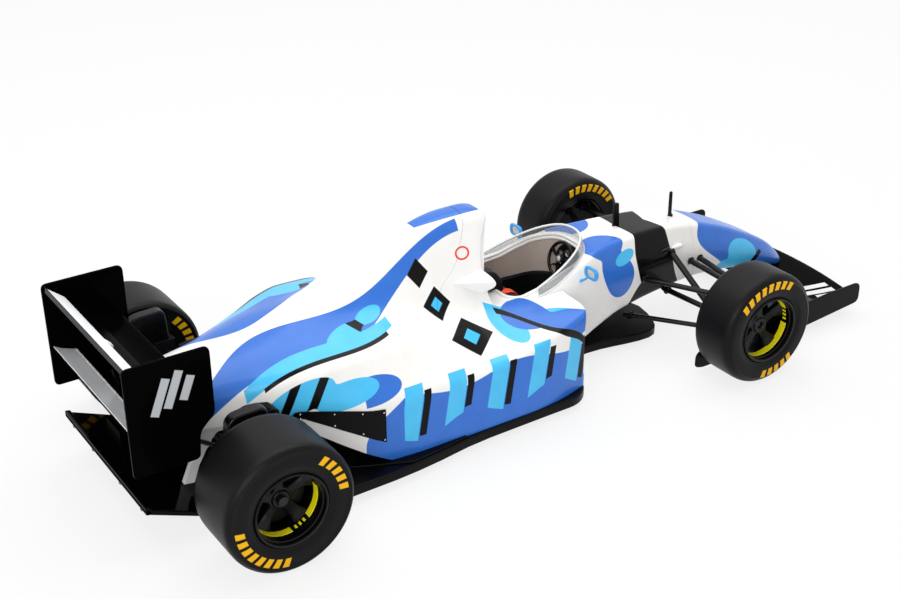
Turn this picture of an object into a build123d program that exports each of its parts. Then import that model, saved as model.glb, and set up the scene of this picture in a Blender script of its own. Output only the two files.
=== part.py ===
"""Display model of an open wheel racing car, 1:18, as an assembly of separate pieces.

Frame: X runs along the car with the nose at +X, Y points to its left and Z up.  The origin
is on the ground under the middle of the car's length.  All sizes are in millimetres.
"""

import os

from build123d import *

os.makedirs("parts", exist_ok=True)

# ---------------------------------------------------------------- driving dimensions
wheelbase = 164.5
rear_overhang = 29.6        # rear axle to the rear edge of the rear wing
front_overhang = 62.4       # front axle to the front edge of the front wing

rear_tyre_radius = 18.1
rear_tyre_width = 19.6
rear_track_outer = 55.6     # centre line to the outer face of a rear tyre
front_tyre_radius = 17.9
front_tyre_width = 14.9
front_track_outer = 54.1
rear_rim_radius = 10.4
front_rim_radius = 10.6
tyre_shoulder = 3.2         # rounding between the tread and the side wall
tyre_bead = 2.4             # height of the side wall's inner taper
bead_depth = 0.6
rim_wall = 0.9
rim_recess = 3.4            # outer lip to the face of the spokes
spoke_count = 5
axle_radius = 1.3
axle_clearance = 0.05       # running fit of a hub on its stub axle
tyre_fit = 0.03             # between a tyre and its rim
wheel_gap = 1.2             # between a wheel and what stands beside it

ride_height = 2.0           # ground to the underside of the floor
floor_thickness = 3.0
splitter_reach = 4.5        # front axle back to the front of the splitter tray
splitter_width = 27.0

tail_reach = 6.0            # rear axle back to the end of the rear bodywork
pod_front = 113.5           # rear axle to the front lip of the sidepods
cover_front = 84.0          # rear axle to the joint in front of the engine cover
cockpit_rear = 96.0         # rear axle to the rear wall of the cockpit
cockpit_length = 33.5
cockpit_width = 25.0
cockpit_floor = 8.0         # height of the cockpit floor
cockpit_ledge = 23.0        # height where the cockpit steps in
ledge_width = 1.2
front_corner = 10.6         # rounding of the cockpit opening's front corners
rear_corner = 4.5
chassis_width = 34.0        # across the chassis between the sidepods
nose_joint = 8.0            # front axle forward to the joint of the nose cone
nose_length = 52.0
deck_split = 22.0           # rear axle to the rear end of the separate sidepod covers

footwell_length = 22.0
footwell_width = 16.0
footwell_bottom = 15.5
footwell_top = 27.0

duct_depth = 17.0           # depth of a radiator inlet
duct_inner = 19.0           # centre line to the inner wall of a radiator inlet
duct_outer = 30.5
duct_bottom = 7.5
duct_top = 26.5
core_thickness = 2.0
hoop_overhang = 9.3         # joint of the engine cover forward to the lip of the air intake
airbox_depth = 8.6
airbox_width = 7.4
airbox_bottom = 48.0
airbox_top = 56.4

front_wing_chord = 27.0
front_wing_height = 5.0
front_wing_thickness = 1.7
front_flap_chord = 12.5
front_flap_inner = 12.0     # centre line to the inner end of a front flap
front_plate_thickness = 0.8
front_plate_length = 73.0

rear_wing_span = 57.0
rear_wing_top = 54.4
rear_plate_thickness = 1.0
rear_plate_length = 23.1
rear_plate_height = 31.1
rear_plate_corner = 1.4
beam_wing_height = 35.5     # rear edge of the lower rear wing

diffuser_width = 57.6
diffuser_thickness = 1.6
diffuser_exit_height = 14.0
diffuser_overhang = 27.9    # rear axle back to the rear edge of the diffuser
strake_thickness = 1.0

pod_corner = 7.0            # rounding of a sidepod's outer front corner in plan
pod_corner_y = 34.3
leg_outer = 14.0            # centre line to the outer face of a tail leg
leg_thickness = 1.6
gearbox_width = 18.0
duct_hole_radius = 2.2      # hole in a tail leg round the drive shaft

screw_spacing = 60.0
screw_rear = 42.0           # rear axle to the rear screw
screw_radius = 1.3
screw_bore_radius = 1.625   # clearance above the floor
screw_depth = 6.0           # free depth above the floor

# ---------------------------------------------------------------- derived places
length = rear_overhang + wheelbase + front_overhang
rear_axle_x = rear_overhang - length / 2
front_axle_x = rear_axle_x + wheelbase
rear_plate_x = rear_axle_x - rear_overhang
floor_top = ride_height + floor_thickness
tail_x = rear_axle_x - tail_reach
body_length = tail_reach + pod_front
cover_front_x = rear_axle_x + cover_front
cockpit_rear_x = rear_axle_x + cockpit_rear
cockpit_front_x = cockpit_rear_x + cockpit_length
nose_joint_x = front_axle_x + nose_joint
half_chassis = chassis_width / 2
half_cockpit = cockpit_width / 2
wing_tip_x = front_axle_x + front_overhang
diffuser_rear_x = rear_axle_x - diffuser_overhang
half_diffuser = diffuser_width / 2
half_wing = rear_wing_span / 2 - rear_plate_thickness
front_wing_half_span = front_track_outer - front_tyre_width - wheel_gap
deck_split_x = rear_axle_x + deck_split
pod_front_x = rear_axle_x + pod_front
far = 400.0                 # larger than the car, for cutting tools


def cross_section(x, outline, rounding):
    """A section across the car at x, from the (y, z) points of its left half."""
    right_half = [(-y, z) for y, z in reversed(outline)]
    radii = list(rounding) + list(reversed(rounding))
    with BuildSketch(Plane(origin=(x, 0, 0), x_dir=(0, 1, 0), z_dir=(1, 0, 0))) as section:
        with BuildLine():
            FilletPolyline(*outline, *right_half, radius=radii, close=True)
        make_face()
    return section.sketch


def slab(x_low, x_high, y_low, y_high, z_low, z_high):
    """A plain block between two corners."""
    with BuildPart() as block:
        with Locations(((x_low + x_high) / 2, (y_low + y_high) / 2, (z_low + z_high) / 2)):
            Box(x_high - x_low, y_high - y_low, z_high - z_low)
    return block.part


def rod(start, end, radius, squash=1.0):
    """A straight arm from start to end, flattened to squash times its width."""
    path = Vector(*end) - Vector(*start)
    with BuildPart() as bar:
        with BuildSketch(Plane(origin=start, x_dir=path.cross(Vector(0, 0, 1)), z_dir=path)):
            Ellipse(radius, radius * squash)
        extrude(amount=path.length)
    return bar.part


def plate(outline, y_low, y_high, corner=0.0):
    """A flat plate standing along the car, from its (x, z) outline."""
    with BuildPart() as sheet:
        with BuildSketch(Plane.XZ.offset(-y_low)) as side_view:
            with BuildLine():
                Polyline(*outline, close=True)
            make_face()
            if corner:
                fillet(side_view.vertices(), corner)
        extrude(amount=y_low - y_high)
    return sheet.part


def aerofoil(leading, trailing, thickness, y_low, y_high):
    """A cambered wing element between two (x, z) edges, hollow side up."""
    chord = Vector(trailing[0] - leading[0], 0, trailing[1] - leading[1])
    normal = Vector(chord.Z, 0, -chord.X).normalized()
    middle = Vector(leading[0], 0, leading[1]) + chord * 0.4
    below = middle - normal * thickness * 1.25
    above = middle - normal * thickness * 0.25
    with BuildPart() as element:
        with BuildSketch(Plane.XZ.offset(-y_low)):
            with BuildLine():
                ThreePointArc(leading, (below.X, below.Z), trailing)
                ThreePointArc(trailing, (above.X, above.Z), leading)
            make_face()
        extrude(amount=y_low - y_high)
    return element.part


def spread(side, inner, outer):
    """The lower and upper y between two distances from the centre line on one side."""
    return sorted((side * inner, side * outer))


# ---------------------------------------------------------------- bodywork
# Half sections of the rear body, from the tail to the front lip of the sidepods.
# share of the length, top z, half width of the crown, foot of the spine (y, z),
# deck edge (y, z), side (y, z), z of the lower edge
body_rows = [
    (0.000, 34.2, 5.0, 9.0, 33.4, 13.2, 31.0, 14.6, 25.0, 22.5),
    (0.092, 35.8, 5.0, 10.0, 34.9, 15.5, 31.6, 18.0, 25.0, 22.3),
    (0.150, 37.1, 5.0, 10.5, 36.2, 18.0, 32.3, 20.5, 25.0, 21.5),
    (0.234, 39.2, 5.0, 11.0, 38.1, 21.5, 33.8, 25.0, 24.6, 17.0),
    (0.310, 41.5, 4.0, 10.5, 39.4, 24.5, 35.9, 29.5, 24.2, 11.5),
    (0.368, 45.3, 3.8, 10.5, 40.0, 25.5, 36.8, 32.5, 24.0, 8.0),
    (0.435, 49.9, 3.9, 11.5, 40.6, 25.0, 36.8, 33.6, 23.7, floor_top),
    (0.535, 53.7, 4.1, 13.0, 38.8, 24.5, 34.6, 34.3, 23.5, floor_top),
    (0.636, 57.1, 4.3, 14.3, 35.0, 24.5, 31.2, 34.3, 23.5, floor_top),
    (0.736, 58.6, 4.4, 15.5, 33.2, 25.0, 28.9, 34.3, 24.3, floor_top),
    (0.862, 58.3, 4.6, 17.0, 31.8, 26.0, 29.5, 34.3, 26.6, floor_top),
    (0.916, 34.0, 5.0, 17.0, 31.0, 26.0, 29.8, 33.6, 27.6, floor_top),
    (1.000, 32.5, 5.0, 17.0, 30.6, 26.0, 30.3, 30.5, 29.6, floor_top),
]
body_rounding = (3.9, 3.0, 2.4, 1.8, 0.0)


def body_section(row):
    """One section of the rear body."""
    share, top, crown, foot_y, foot_z, deck_y, deck_z, side_y, side_z, low_z = row
    outline = [
        (crown, top),
        (foot_y, foot_z),
        (deck_y, deck_z),
        (side_y, side_z),
        (side_y, low_z),
    ]
    return cross_section(tail_x + share * body_length, outline, body_rounding)


with BuildPart() as rear_body:
    loft([body_section(row) for row in body_rows], ruled=True)

# ---------------------------------------------------------------- floor
# plan of the floor's left edge: (rear axle forward, half width)
floor_rows = [
    (deck_split, 38.4),
    (40.0, 38.3),
    (48.0, 37.9),
    (56.0, 37.4),
    (66.0, 35.6),
    (74.0, 35.0),
    (94.0, 35.0),
    (101.0, 34.4),
    (107.4, 31.9),
    (110.5, 27.0),
    (112.5, 20.0),
]
splitter_x = front_axle_x - splitter_reach
floor_left = [(rear_axle_x + reach, half) for reach, half in floor_rows]
floor_right = [(x, -y) for x, y in reversed(floor_left)]
splitter_root_x = floor_left[-1][0]
half_splitter = splitter_width / 2
splitter_corner = half_splitter * 0.9
screw_rear_x = rear_axle_x + screw_rear
screw_front_x = screw_rear_x + screw_spacing
with BuildPart() as floor_pan:
    with BuildSketch(Plane.XY.offset(ride_height)):
        with BuildLine():
            Polyline(*floor_left, *floor_right, close=True)
        make_face()
    extrude(amount=floor_thickness)
    with BuildSketch(Plane.XY.offset(ride_height)):
        with BuildLine():
            FilletPolyline(
                (splitter_root_x, -half_splitter),
                (splitter_x, -half_splitter),
                (splitter_x, half_splitter),
                (splitter_root_x, half_splitter),
                radius=(splitter_corner, splitter_corner),
            )
            Line((splitter_root_x, half_splitter), (splitter_root_x, -half_splitter))
        make_face()
    extrude(amount=floor_thickness)
    with Locations((screw_rear_x, 0, ride_height), (screw_front_x, 0, ride_height)):
        Cylinder(screw_radius, 3 * floor_thickness, mode=Mode.SUBTRACT)
floor_pan.part.label = "floor_pan"
export_step(floor_pan.part, "parts/floor_pan.step")

# side view of the diffuser's upper face: (rear axle forward, z)
diffuser_kink = -11.3       # rear axle back to where the diffuser turns up
diffuser_rows = [
    (deck_split, floor_top),
    (-7.0, floor_top + 1.4),
    (diffuser_kink, floor_top + 2.0),
    (-diffuser_overhang, diffuser_exit_height),
]
diffuser_top = [(rear_axle_x + reach, z) for reach, z in diffuser_rows]
diffuser_under = [(x, z - diffuser_thickness) for x, z in reversed(diffuser_top)]
strake_foot = ride_height + 1.0
strake_drop = 2.2           # depth of a strake at the diffuser's rear edge
strake_outline = diffuser_top + [
    (diffuser_rear_x, diffuser_exit_height - strake_drop),
    (rear_axle_x + diffuser_kink, strake_foot),
    (deck_split_x, strake_foot),
]
strake_places = (
    -half_diffuser,
    -half_diffuser / 3,
    half_diffuser / 3 - strake_thickness,
    half_diffuser - strake_thickness,
)
with BuildPart() as diffuser:
    add(plate(diffuser_top + diffuser_under, -half_diffuser, half_diffuser))
    for y in strake_places:
        add(plate(strake_outline, y, y + strake_thickness))
diffuser.part.label = "diffuser"
export_step(diffuser.part, "parts/diffuser.step")

# ---------------------------------------------------------------- engine cover and sidepods
# side view of a tail leg: (rear axle forward, z), down its rear edge and up its front
leg_rows = [
    (-5.7, 24.0),
    (-6.6, 18.0),
    (-8.2, 14.0),
    (-11.6, 6.3),
    (-8.4, 6.3),
    (-6.6, 11.3),
    (-4.0, 15.6),
    (2.0, 20.5),
    (2.0, 24.0),
]
leg_outline = [(rear_axle_x + reach, z) for reach, z in leg_rows]
with BuildPart() as engine_cover:
    add(rear_body.part)
    add(slab(cover_front_x, far, -far, far, -far, far), mode=Mode.SUBTRACT)
    for side in (-1, 1):
        low, high = spread(side, half_chassis, far)
        add(slab(deck_split_x, far, low, high, -far, far), mode=Mode.SUBTRACT)
    # the tail's two side legs reach down to the diffuser
    for side in (-1, 1):
        low, high = spread(side, leg_outer - leg_thickness, leg_outer)
        add(plate(leg_outline, low, high))
    add(diffuser.part, mode=Mode.SUBTRACT)
    with Locations((rear_axle_x, 0, rear_tyre_radius)):
        Cylinder(duct_hole_radius, chassis_width, rotation=(90, 0, 0), mode=Mode.SUBTRACT)
    with Locations((screw_rear_x, 0, floor_top)):
        Cylinder(screw_bore_radius, 2 * screw_depth, mode=Mode.SUBTRACT)
engine_cover.part.label = "engine_cover"
export_step(engine_cover.part, "parts/engine_cover.step")

# The roll hoop cover stands on the chassis and holds the engine's air intake.
# Side view of its front, from the foot up: (reach behind the intake's lip, z)
hoop_foot = 31.0
hoop_rows = [
    (4.8, hoop_foot),
    (6.0, 37.0),
    (6.0, 43.0),
    (5.1, 47.5),
    (3.1, 51.9),
    (1.8, 54.1),
    (0.0, 56.6),
    (0.9, 60.0),
]
hoop_lip_x = cover_front_x + hoop_overhang
hoop_profile = [(cover_front_x, hoop_foot)]
hoop_profile += [(hoop_lip_x - behind, z) for behind, z in hoop_rows]
hoop_profile += [(cover_front_x, hoop_rows[-1][1])]
airbox_middle = (airbox_bottom + airbox_top) / 2
airbox_plane = Plane(origin=(hoop_lip_x, 0, airbox_middle), x_dir=(0, 1, 0), z_dir=(1, 0, 0))
with BuildPart() as roll_hoop_cover:
    add(rear_body.part)
    add(plate(hoop_profile, -half_chassis, half_chassis), mode=Mode.INTERSECT)
    with BuildSketch(airbox_plane):
        RectangleRounded(airbox_width, airbox_top - airbox_bottom, airbox_width * 0.4)
    extrude(amount=-airbox_depth, mode=Mode.SUBTRACT)
roll_hoop_cover.part.label = "roll_hoop_cover"
export_step(roll_hoop_cover.part, "parts/roll_hoop_cover.step")

duct_height = duct_top - duct_bottom
duct_width = duct_outer - duct_inner
duct_middle_y = (duct_inner + duct_outer) / 2
duct_middle_z = (duct_bottom + duct_top) / 2
duct_rear_x = pod_front_x - duct_depth
for side, name in ((1, "sidepod_left"), (-1, "sidepod_right")):
    low, high = spread(side, half_chassis, far)
    with BuildPart() as sidepod:
        add(rear_body.part)
        add(slab(deck_split_x, far, low, high, -far, far), mode=Mode.INTERSECT)
        with Locations((duct_rear_x + far / 2, side * duct_middle_y, duct_middle_z)):
            Box(far, duct_width, duct_height, mode=Mode.SUBTRACT)
        # the outer front corner is rounded in plan
        with BuildSketch() as corner:
            with Locations((pod_front_x, side * pod_corner_y)):
                Rectangle(2 * pod_corner, 2 * pod_corner)
            with Locations((pod_front_x - pod_corner, side * (pod_corner_y - pod_corner))):
                Circle(pod_corner, mode=Mode.SUBTRACT)
        extrude(amount=far, mode=Mode.SUBTRACT)
    sidepod.part.label = name
    export_step(sidepod.part, f"parts/{name}.step")

core_x = duct_rear_x + core_thickness / 2
with BuildPart() as radiator_cores:
    with Locations((core_x, duct_middle_y, duct_middle_z), (core_x, -duct_middle_y, duct_middle_z)):
        Box(core_thickness, duct_width, duct_height)
radiator_cores.part.label = "radiator_cores"
export_step(radiator_cores.part, "parts/radiator_cores.step")

# ---------------------------------------------------------------- chassis
# Half sections of the chassis from the engine bulkhead to the nose joint.
# share of the length, lower edge (y, z), waist (y, z), upper edge (y, z)
tub_rows = [
    (0.000, 16.5, floor_top, 17.0, 29.5, 15.0, hoop_foot),
    (0.120, 16.5, floor_top, 17.0, 29.5, 15.0, hoop_foot),
    (0.290, 16.5, floor_top, 17.0, 30.2, 15.6, 32.2),
    (0.360, 15.5, 6.0, 16.9, 30.0, 14.8, 33.9),
    (0.450, 14.5, 9.0, 16.2, 28.6, 13.2, 35.7),
    (0.530, 13.2, 11.0, 15.0, 27.5, 11.6, 37.3),
    (0.650, 11.5, 13.3, 13.6, 27.5, 9.8, 37.6),
    (0.840, 10.4, 15.0, 12.2, 27.5, 8.5, 36.8),
    (1.000, 9.8, 15.6, 11.0, 26.0, 7.5, 34.6),
]
tub_rounding = (1.6, 3.0, 1.0)
tub_length = nose_joint_x - cover_front_x


def hull_section(x, row, rounding):
    """One section of the chassis or the nose."""
    low_y, low_z, waist_y, waist_z, high_y, high_z = row
    outline = [(high_y, high_z), (waist_y, waist_z), (low_y, low_z)]
    return cross_section(x, outline, rounding)


tub_sections = [
    hull_section(cover_front_x + row[0] * tub_length, row[1:], tub_rounding) for row in tub_rows
]
footwell_rear_x = cockpit_front_x - front_corner
footwell_middle = (footwell_bottom + footwell_top) / 2
with BuildPart() as tub:
    loft(tub_sections, ruled=True)
    for inset, bottom, top in ((0.0, cockpit_ledge, far), (ledge_width, cockpit_floor, cockpit_ledge)):
        with BuildSketch(Plane.XY.offset(bottom)):
            with BuildLine():
                FilletPolyline(
                    (cockpit_rear_x, inset - half_cockpit),
                    (cockpit_front_x - inset, inset - half_cockpit),
                    (cockpit_front_x - inset, half_cockpit - inset),
                    (cockpit_rear_x, half_cockpit - inset),
                    radius=(rear_corner, front_corner - inset, front_corner - inset, rear_corner),
                    close=True,
                )
            make_face()
        extrude(amount=top - bottom, mode=Mode.SUBTRACT)
    with Locations((footwell_rear_x + footwell_length / 2, 0, footwell_middle)):
        Box(footwell_length, footwell_width, footwell_top - footwell_bottom, mode=Mode.SUBTRACT)
    with Locations((screw_front_x, 0, floor_top)):
        Cylinder(screw_bore_radius, 2 * (cockpit_floor - floor_top - 1.0), mode=Mode.SUBTRACT)
tub.part.label = "chassis_tub"
export_step(tub.part, "parts/chassis_tub.step")

# Half sections of the nose cone, from its joint to the tip.
nose_rows = [
    (0.00, 9.8, 15.6, 11.0, 26.0, 7.5, 34.6),
    (0.29, 9.2, 14.6, 10.8, 22.6, 7.0, 30.0),
    (0.57, 8.6, 11.8, 10.2, 17.6, 6.4, 22.8),
    (0.79, 7.4, 8.6, 9.0, 12.4, 5.6, 16.2),
    (0.91, 5.8, 6.6, 7.4, 9.4, 4.4, 11.8),
    (1.00, 3.4, 5.2, 4.8, 6.8, 3.2, 8.2),
]
nose_rounding = (0.9, 1.2, 0.4)
nose_sections = [
    hull_section(nose_joint_x + row[0] * nose_length, row[1:], nose_rounding) for row in nose_rows
]
with BuildPart() as nose_cone:
    loft(nose_sections, ruled=True)
nose_cone.part.label = "nose_cone"
export_step(nose_cone.part, "parts/nose_cone.step")

# ---------------------------------------------------------------- cockpit
# The screen is a strip that follows the cockpit's rim and leans inwards by screen_lean.
screen_thickness = 0.8
screen_lean = 21.0
screen_base = 30.0
screen_half_width = 17.0    # at screen_base
screen_reach = 4.6          # cockpit's front wall forward to the strip, at screen_base
screen_corner = 14.0
screen_slope = [
    (cockpit_rear_x + 8.8, 31.2),
    (cockpit_front_x + 3.0, 36.8),
    (cockpit_front_x + 3.0, 41.8),
    (cockpit_front_x, 41.0),
    (cockpit_rear_x + 10.2, 33.1),
]
screen_front_x = cockpit_front_x + screen_reach
with BuildPart() as windscreen:
    for shrink, mode in ((0.0, Mode.ADD), (screen_thickness, Mode.SUBTRACT)):
        with BuildSketch(Plane.XY.offset(screen_base)):
            with BuildLine():
                FilletPolyline(
                    (cockpit_rear_x, shrink - screen_half_width),
                    (screen_front_x - shrink, shrink - screen_half_width),
                    (screen_front_x - shrink, screen_half_width - shrink),
                    (cockpit_rear_x, screen_half_width - shrink),
                    radius=(screen_corner - shrink, screen_corner - shrink),
                )
                Line(
                    (cockpit_rear_x, screen_half_width - shrink),
                    (cockpit_rear_x, shrink - screen_half_width),
                )
            make_face()
        extrude(amount=floor_top * 3, taper=screen_lean, mode=mode)
    add(plate(screen_slope, -chassis_width, chassis_width), mode=Mode.INTERSECT)
    add(tub.part, mode=Mode.SUBTRACT)
windscreen.part.label = "windscreen"
export_step(windscreen.part, "parts/windscreen.step")

seat_gap = 0.5
seat_half_width = half_cockpit - ledge_width - seat_gap
seat_top = cockpit_ledge + 5.0
seat_outline = [
    (cockpit_rear_x, cockpit_floor),
    (cockpit_rear_x + 25.0, cockpit_floor),
    (cockpit_rear_x + 25.0, cockpit_floor + 4.0),
    (cockpit_rear_x + 14.0, cockpit_floor + 3.0),
    (cockpit_rear_x + 7.0, seat_top),
    (cockpit_rear_x, seat_top),
]
with BuildPart() as seat:
    add(plate(seat_outline, -seat_half_width, seat_half_width))
    add(tub.part, mode=Mode.SUBTRACT)
seat.part.label = "seat"
export_step(seat.part, "parts/seat.step")

belt_width = 2.8
belt_inner = 3.0            # centre line to the inner edge of a shoulder belt
belt_thickness = 0.5
back_foot = seat_outline[3]
back_head = seat_outline[4]
belt_outline = [
    back_head,
    back_foot,
    (back_foot[0] + belt_thickness, back_foot[1]),
    (back_head[0] + belt_thickness, back_head[1] + belt_thickness),
    (cockpit_rear_x + belt_thickness, seat_top + belt_thickness),
    (cockpit_rear_x + belt_thickness, seat_top),
]
with BuildPart() as harness:
    for y in (-belt_inner - belt_width, belt_inner):
        add(plate(belt_outline, y, y + belt_width))
    add(seat.part, mode=Mode.SUBTRACT)
harness.part.label = "harness"
export_step(harness.part, "parts/harness.step")

headrest_half_width = 8.0
headrest_corner = 0.6
headrest_outline = [
    (hoop_lip_x - 5.0, hoop_foot),
    (hoop_lip_x - 5.0, 38.0),
    (cockpit_rear_x - 1.0, 38.2),
    (cockpit_rear_x + 2.6, 36.0),
    (cockpit_rear_x + 5.0, 32.0),
    (cockpit_rear_x + 5.0, seat_top + 1.0),
    (cockpit_rear_x, seat_top),
    (cockpit_rear_x, hoop_foot),
]
with BuildPart() as headrest:
    add(plate(headrest_outline, -headrest_half_width, headrest_half_width, headrest_corner))
    add(roll_hoop_cover.part, mode=Mode.SUBTRACT)
    add(tub.part, mode=Mode.SUBTRACT)
    add(seat.part, mode=Mode.SUBTRACT)
    add(harness.part, mode=Mode.SUBTRACT)
headrest.part.label = "headrest"
export_step(headrest.part, "parts/headrest.step")

steering_wheel_radius = 5.8
steering_wheel_x = cockpit_front_x - 4.8
steering_wheel_z = 31.2
steering_grip = 0.8
column_radius = 1.0
wheel_plane = Plane(
    origin=(steering_wheel_x, 0, steering_wheel_z), x_dir=(0, 1, 0), z_dir=(-1, 0, 0.35)
)
with BuildPart() as steering_wheel:
    with BuildSketch(wheel_plane.offset(-steering_grip / 2)):
        Circle(steering_wheel_radius)
        Circle(steering_wheel_radius - 2 * steering_grip, mode=Mode.SUBTRACT)
        Circle(steering_grip * 2)
        for turn in (0, 180, 270):
            with Locations(Rot(0, 0, turn) * Pos(steering_wheel_radius / 2, 0)):
                Rectangle(steering_wheel_radius, steering_grip * 1.4)
        with Locations((0, 0)):
            Circle(steering_wheel_radius, mode=Mode.INTERSECT)
    extrude(amount=steering_grip)
    with BuildSketch(wheel_plane.offset(-steering_grip / 2)):
        Circle(column_radius)
    extrude(amount=-steering_wheel_radius * 1.3)
    add(tub.part, mode=Mode.SUBTRACT)
steering_wheel.part.label = "steering_wheel"
export_step(steering_wheel.part, "parts/steering_wheel.step")

mirror_x = cockpit_front_x - 9.0
mirror_y = 19.2
mirror_z = 35.0
mirror_depth = 2.4
mirror_width = 6.6
mirror_height = 4.4
mirror_corner = 1.6
mirror_taper = 14
stalk_radius = 0.6
stalk_foot_y = half_cockpit + 2.6
for side, name in ((1, "mirror_left"), (-1, "mirror_right")):
    face = Plane(origin=(mirror_x, side * mirror_y, mirror_z), x_dir=(0, 1, 0), z_dir=(1, 0, 0))
    stalk_head = (mirror_x + mirror_depth / 2, side * mirror_y, mirror_z - mirror_height / 4)
    stalk_foot = (mirror_x, side * stalk_foot_y, mirror_z - mirror_height)
    with BuildPart() as mirror_piece:
        with BuildSketch(face):
            RectangleRounded(mirror_width, mirror_height, mirror_corner)
        extrude(amount=mirror_depth, taper=mirror_taper)
        add(rod(stalk_head, stalk_foot, stalk_radius))
        add(tub.part, mode=Mode.SUBTRACT)
    mirror_piece.part.label = name
    export_step(mirror_piece.part, f"parts/{name}.step")

# ---------------------------------------------------------------- small parts on the body
# The scoops swell from the flanks of the engine cover to a mouth at the hoop's front:
# (rear axle forward, y, z, half width, half height)
scoop_rows = [
    (77.0, 11.4, 41.6, 1.0, 1.4),
    (82.0, 12.8, 40.8, 2.6, 3.0),
    (87.6, 14.0, 39.8, 3.6, 3.8),
]
scoop_wall = 0.7
for side, name in ((1, "air_scoop_left"), (-1, "air_scoop_right")):
    skins = []
    for shrink in (0.0, scoop_wall):
        for reach, y, z, half_y, half_z in scoop_rows:
            station = Plane(origin=(rear_axle_x + reach, side * y, z), x_dir=(0, 1, 0), z_dir=(1, 0, 0))
            thinner = 1 - shrink / scoop_rows[-1][3]
            with BuildSketch(station) as ring:
                Ellipse(half_y * thinner, half_z * thinner)
            skins.append(ring.sketch)
    with BuildPart() as scoop:
        loft(skins[:3], ruled=True)
        loft(skins[3:], ruled=True, mode=Mode.SUBTRACT)
        add(rear_body.part, mode=Mode.SUBTRACT)
    scoop.part.label = name
    export_step(scoop.part, f"parts/{name}.step")

antenna_x = front_axle_x + 6.3
antenna_radius = 0.5
antenna_top = 43.1
fin_x = front_axle_x - 16.5
fin_length = 2.4
fin_thickness = 0.8
fin_top = 44.5
mast_foot = footwell_top + 6.0  # inside the chassis, cut back to its skin
with BuildPart() as antennas:
    with Locations((antenna_x, 0, mast_foot)):
        Cylinder(antenna_radius, antenna_top - mast_foot, align=(Align.CENTER, Align.CENTER, Align.MIN))
    with Locations((fin_x, 0, mast_foot)):
        Box(fin_length, fin_thickness, fin_top - mast_foot, align=(Align.CENTER, Align.CENTER, Align.MIN))
    add(tub.part, mode=Mode.SUBTRACT)
antennas.part.label = "antennas"
export_step(antennas.part, "parts/antennas.step")

louvre_thickness = 0.5
# side view of the louvre plate: (rear axle forward, z)
louvre_rows = [(41.5, 21.2), (41.0, 11.0), (20.0, 21.6), (18.0, 23.0), (18.6, 24.0)]
louvre_outline = [(rear_axle_x + reach, z) for reach, z in louvre_rows]
swollen_rows = [row[:7] + (row[7] + louvre_thickness,) + row[8:] for row in body_rows]
with BuildPart() as swollen_body:
    loft([body_section(row) for row in swollen_rows], ruled=True)
for side, name in ((1, "louvre_panel_left"), (-1, "louvre_panel_right")):
    low, high = spread(side, half_chassis, far)
    with BuildPart() as louvre:
        add(swollen_body.part)
        add(plate(louvre_outline, low, high), mode=Mode.INTERSECT)
        add(rear_body.part, mode=Mode.SUBTRACT)
    louvre.part.label = name
    export_step(louvre.part, f"parts/{name}.step")

# side view of a deck fin, a curved flap beside the tail ahead of the wheel: (rear axle forward, z)
deck_fin_wall = 1.5
deck_fin_inner = 16.0
deck_fin_outer = 24.2
fin_front = (rear_axle_x + 13.0, 27.6)
fin_middle = (rear_axle_x + 6.2, 28.0)
fin_rear = (rear_axle_x + 0.9, 24.2)
fin_front_under = (fin_front[0], fin_front[1] - deck_fin_wall)
fin_under = (fin_middle[0] + deck_fin_wall / 2, fin_middle[1] - deck_fin_wall)
fin_rear_under = (fin_rear[0] + deck_fin_wall, fin_rear[1])
with BuildPart() as deck_fins:
    for side in (-1, 1):
        low, high = spread(side, deck_fin_inner, deck_fin_outer)
        with BuildSketch(Plane.XZ.offset(-low)):
            with BuildLine():
                ThreePointArc(fin_front, fin_middle, fin_rear)
                Line(fin_rear, fin_rear_under)
                ThreePointArc(fin_rear_under, fin_under, fin_front_under)
                Line(fin_front_under, fin_front)
            make_face()
        extrude(amount=low - high)
    add(rear_body.part, mode=Mode.SUBTRACT)
deck_fins.part.label = "deck_fins"
export_step(deck_fins.part, "parts/deck_fins.step")

# ---------------------------------------------------------------- gearbox
gearbox_top = 24.0
gearbox_foot = floor_top + 1.3
gearbox_front_x = rear_axle_x + 34.0
gearbox_rear_x = rear_axle_x - 13.0
half_gearbox = gearbox_width / 2
crash_rear_x = rear_axle_x - 24.0
crash_top = 23.0
crash_foot = 17.0
with BuildPart() as gearbox:
    add(slab(gearbox_rear_x, gearbox_front_x, -half_gearbox, half_gearbox, gearbox_foot, gearbox_top))
    add(slab(crash_rear_x, gearbox_rear_x, -half_gearbox / 2, half_gearbox / 2, crash_foot, crash_top))
    add(rear_body.part, mode=Mode.SUBTRACT)
    add(diffuser.part, mode=Mode.SUBTRACT)
    add(floor_pan.part, mode=Mode.SUBTRACT)
gearbox.part.label = "gearbox"
export_step(gearbox.part, "parts/gearbox.step")

# ---------------------------------------------------------------- rear wing
plate_rows = [
    (0.0, rear_wing_top),
    (rear_plate_length, rear_wing_top),
    (rear_plate_length, rear_wing_top - 19.4),
    (rear_plate_length - 4.5, rear_wing_top - 23.4),
    (rear_plate_length - 5.0, rear_wing_top - rear_plate_height),
    (0.0, rear_wing_top - rear_plate_height),
]
plate_outline = [(rear_plate_x + reach, z) for reach, z in plate_rows]
for side, name in ((1, "rear_endplate_left"), (-1, "rear_endplate_right")):
    low, high = spread(side, half_wing, half_wing + rear_plate_thickness)
    with BuildPart() as endplate:
        add(plate(plate_outline, low, high, rear_plate_corner))
    endplate.part.label = name
    export_step(endplate.part, f"parts/{name}.step")

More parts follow.
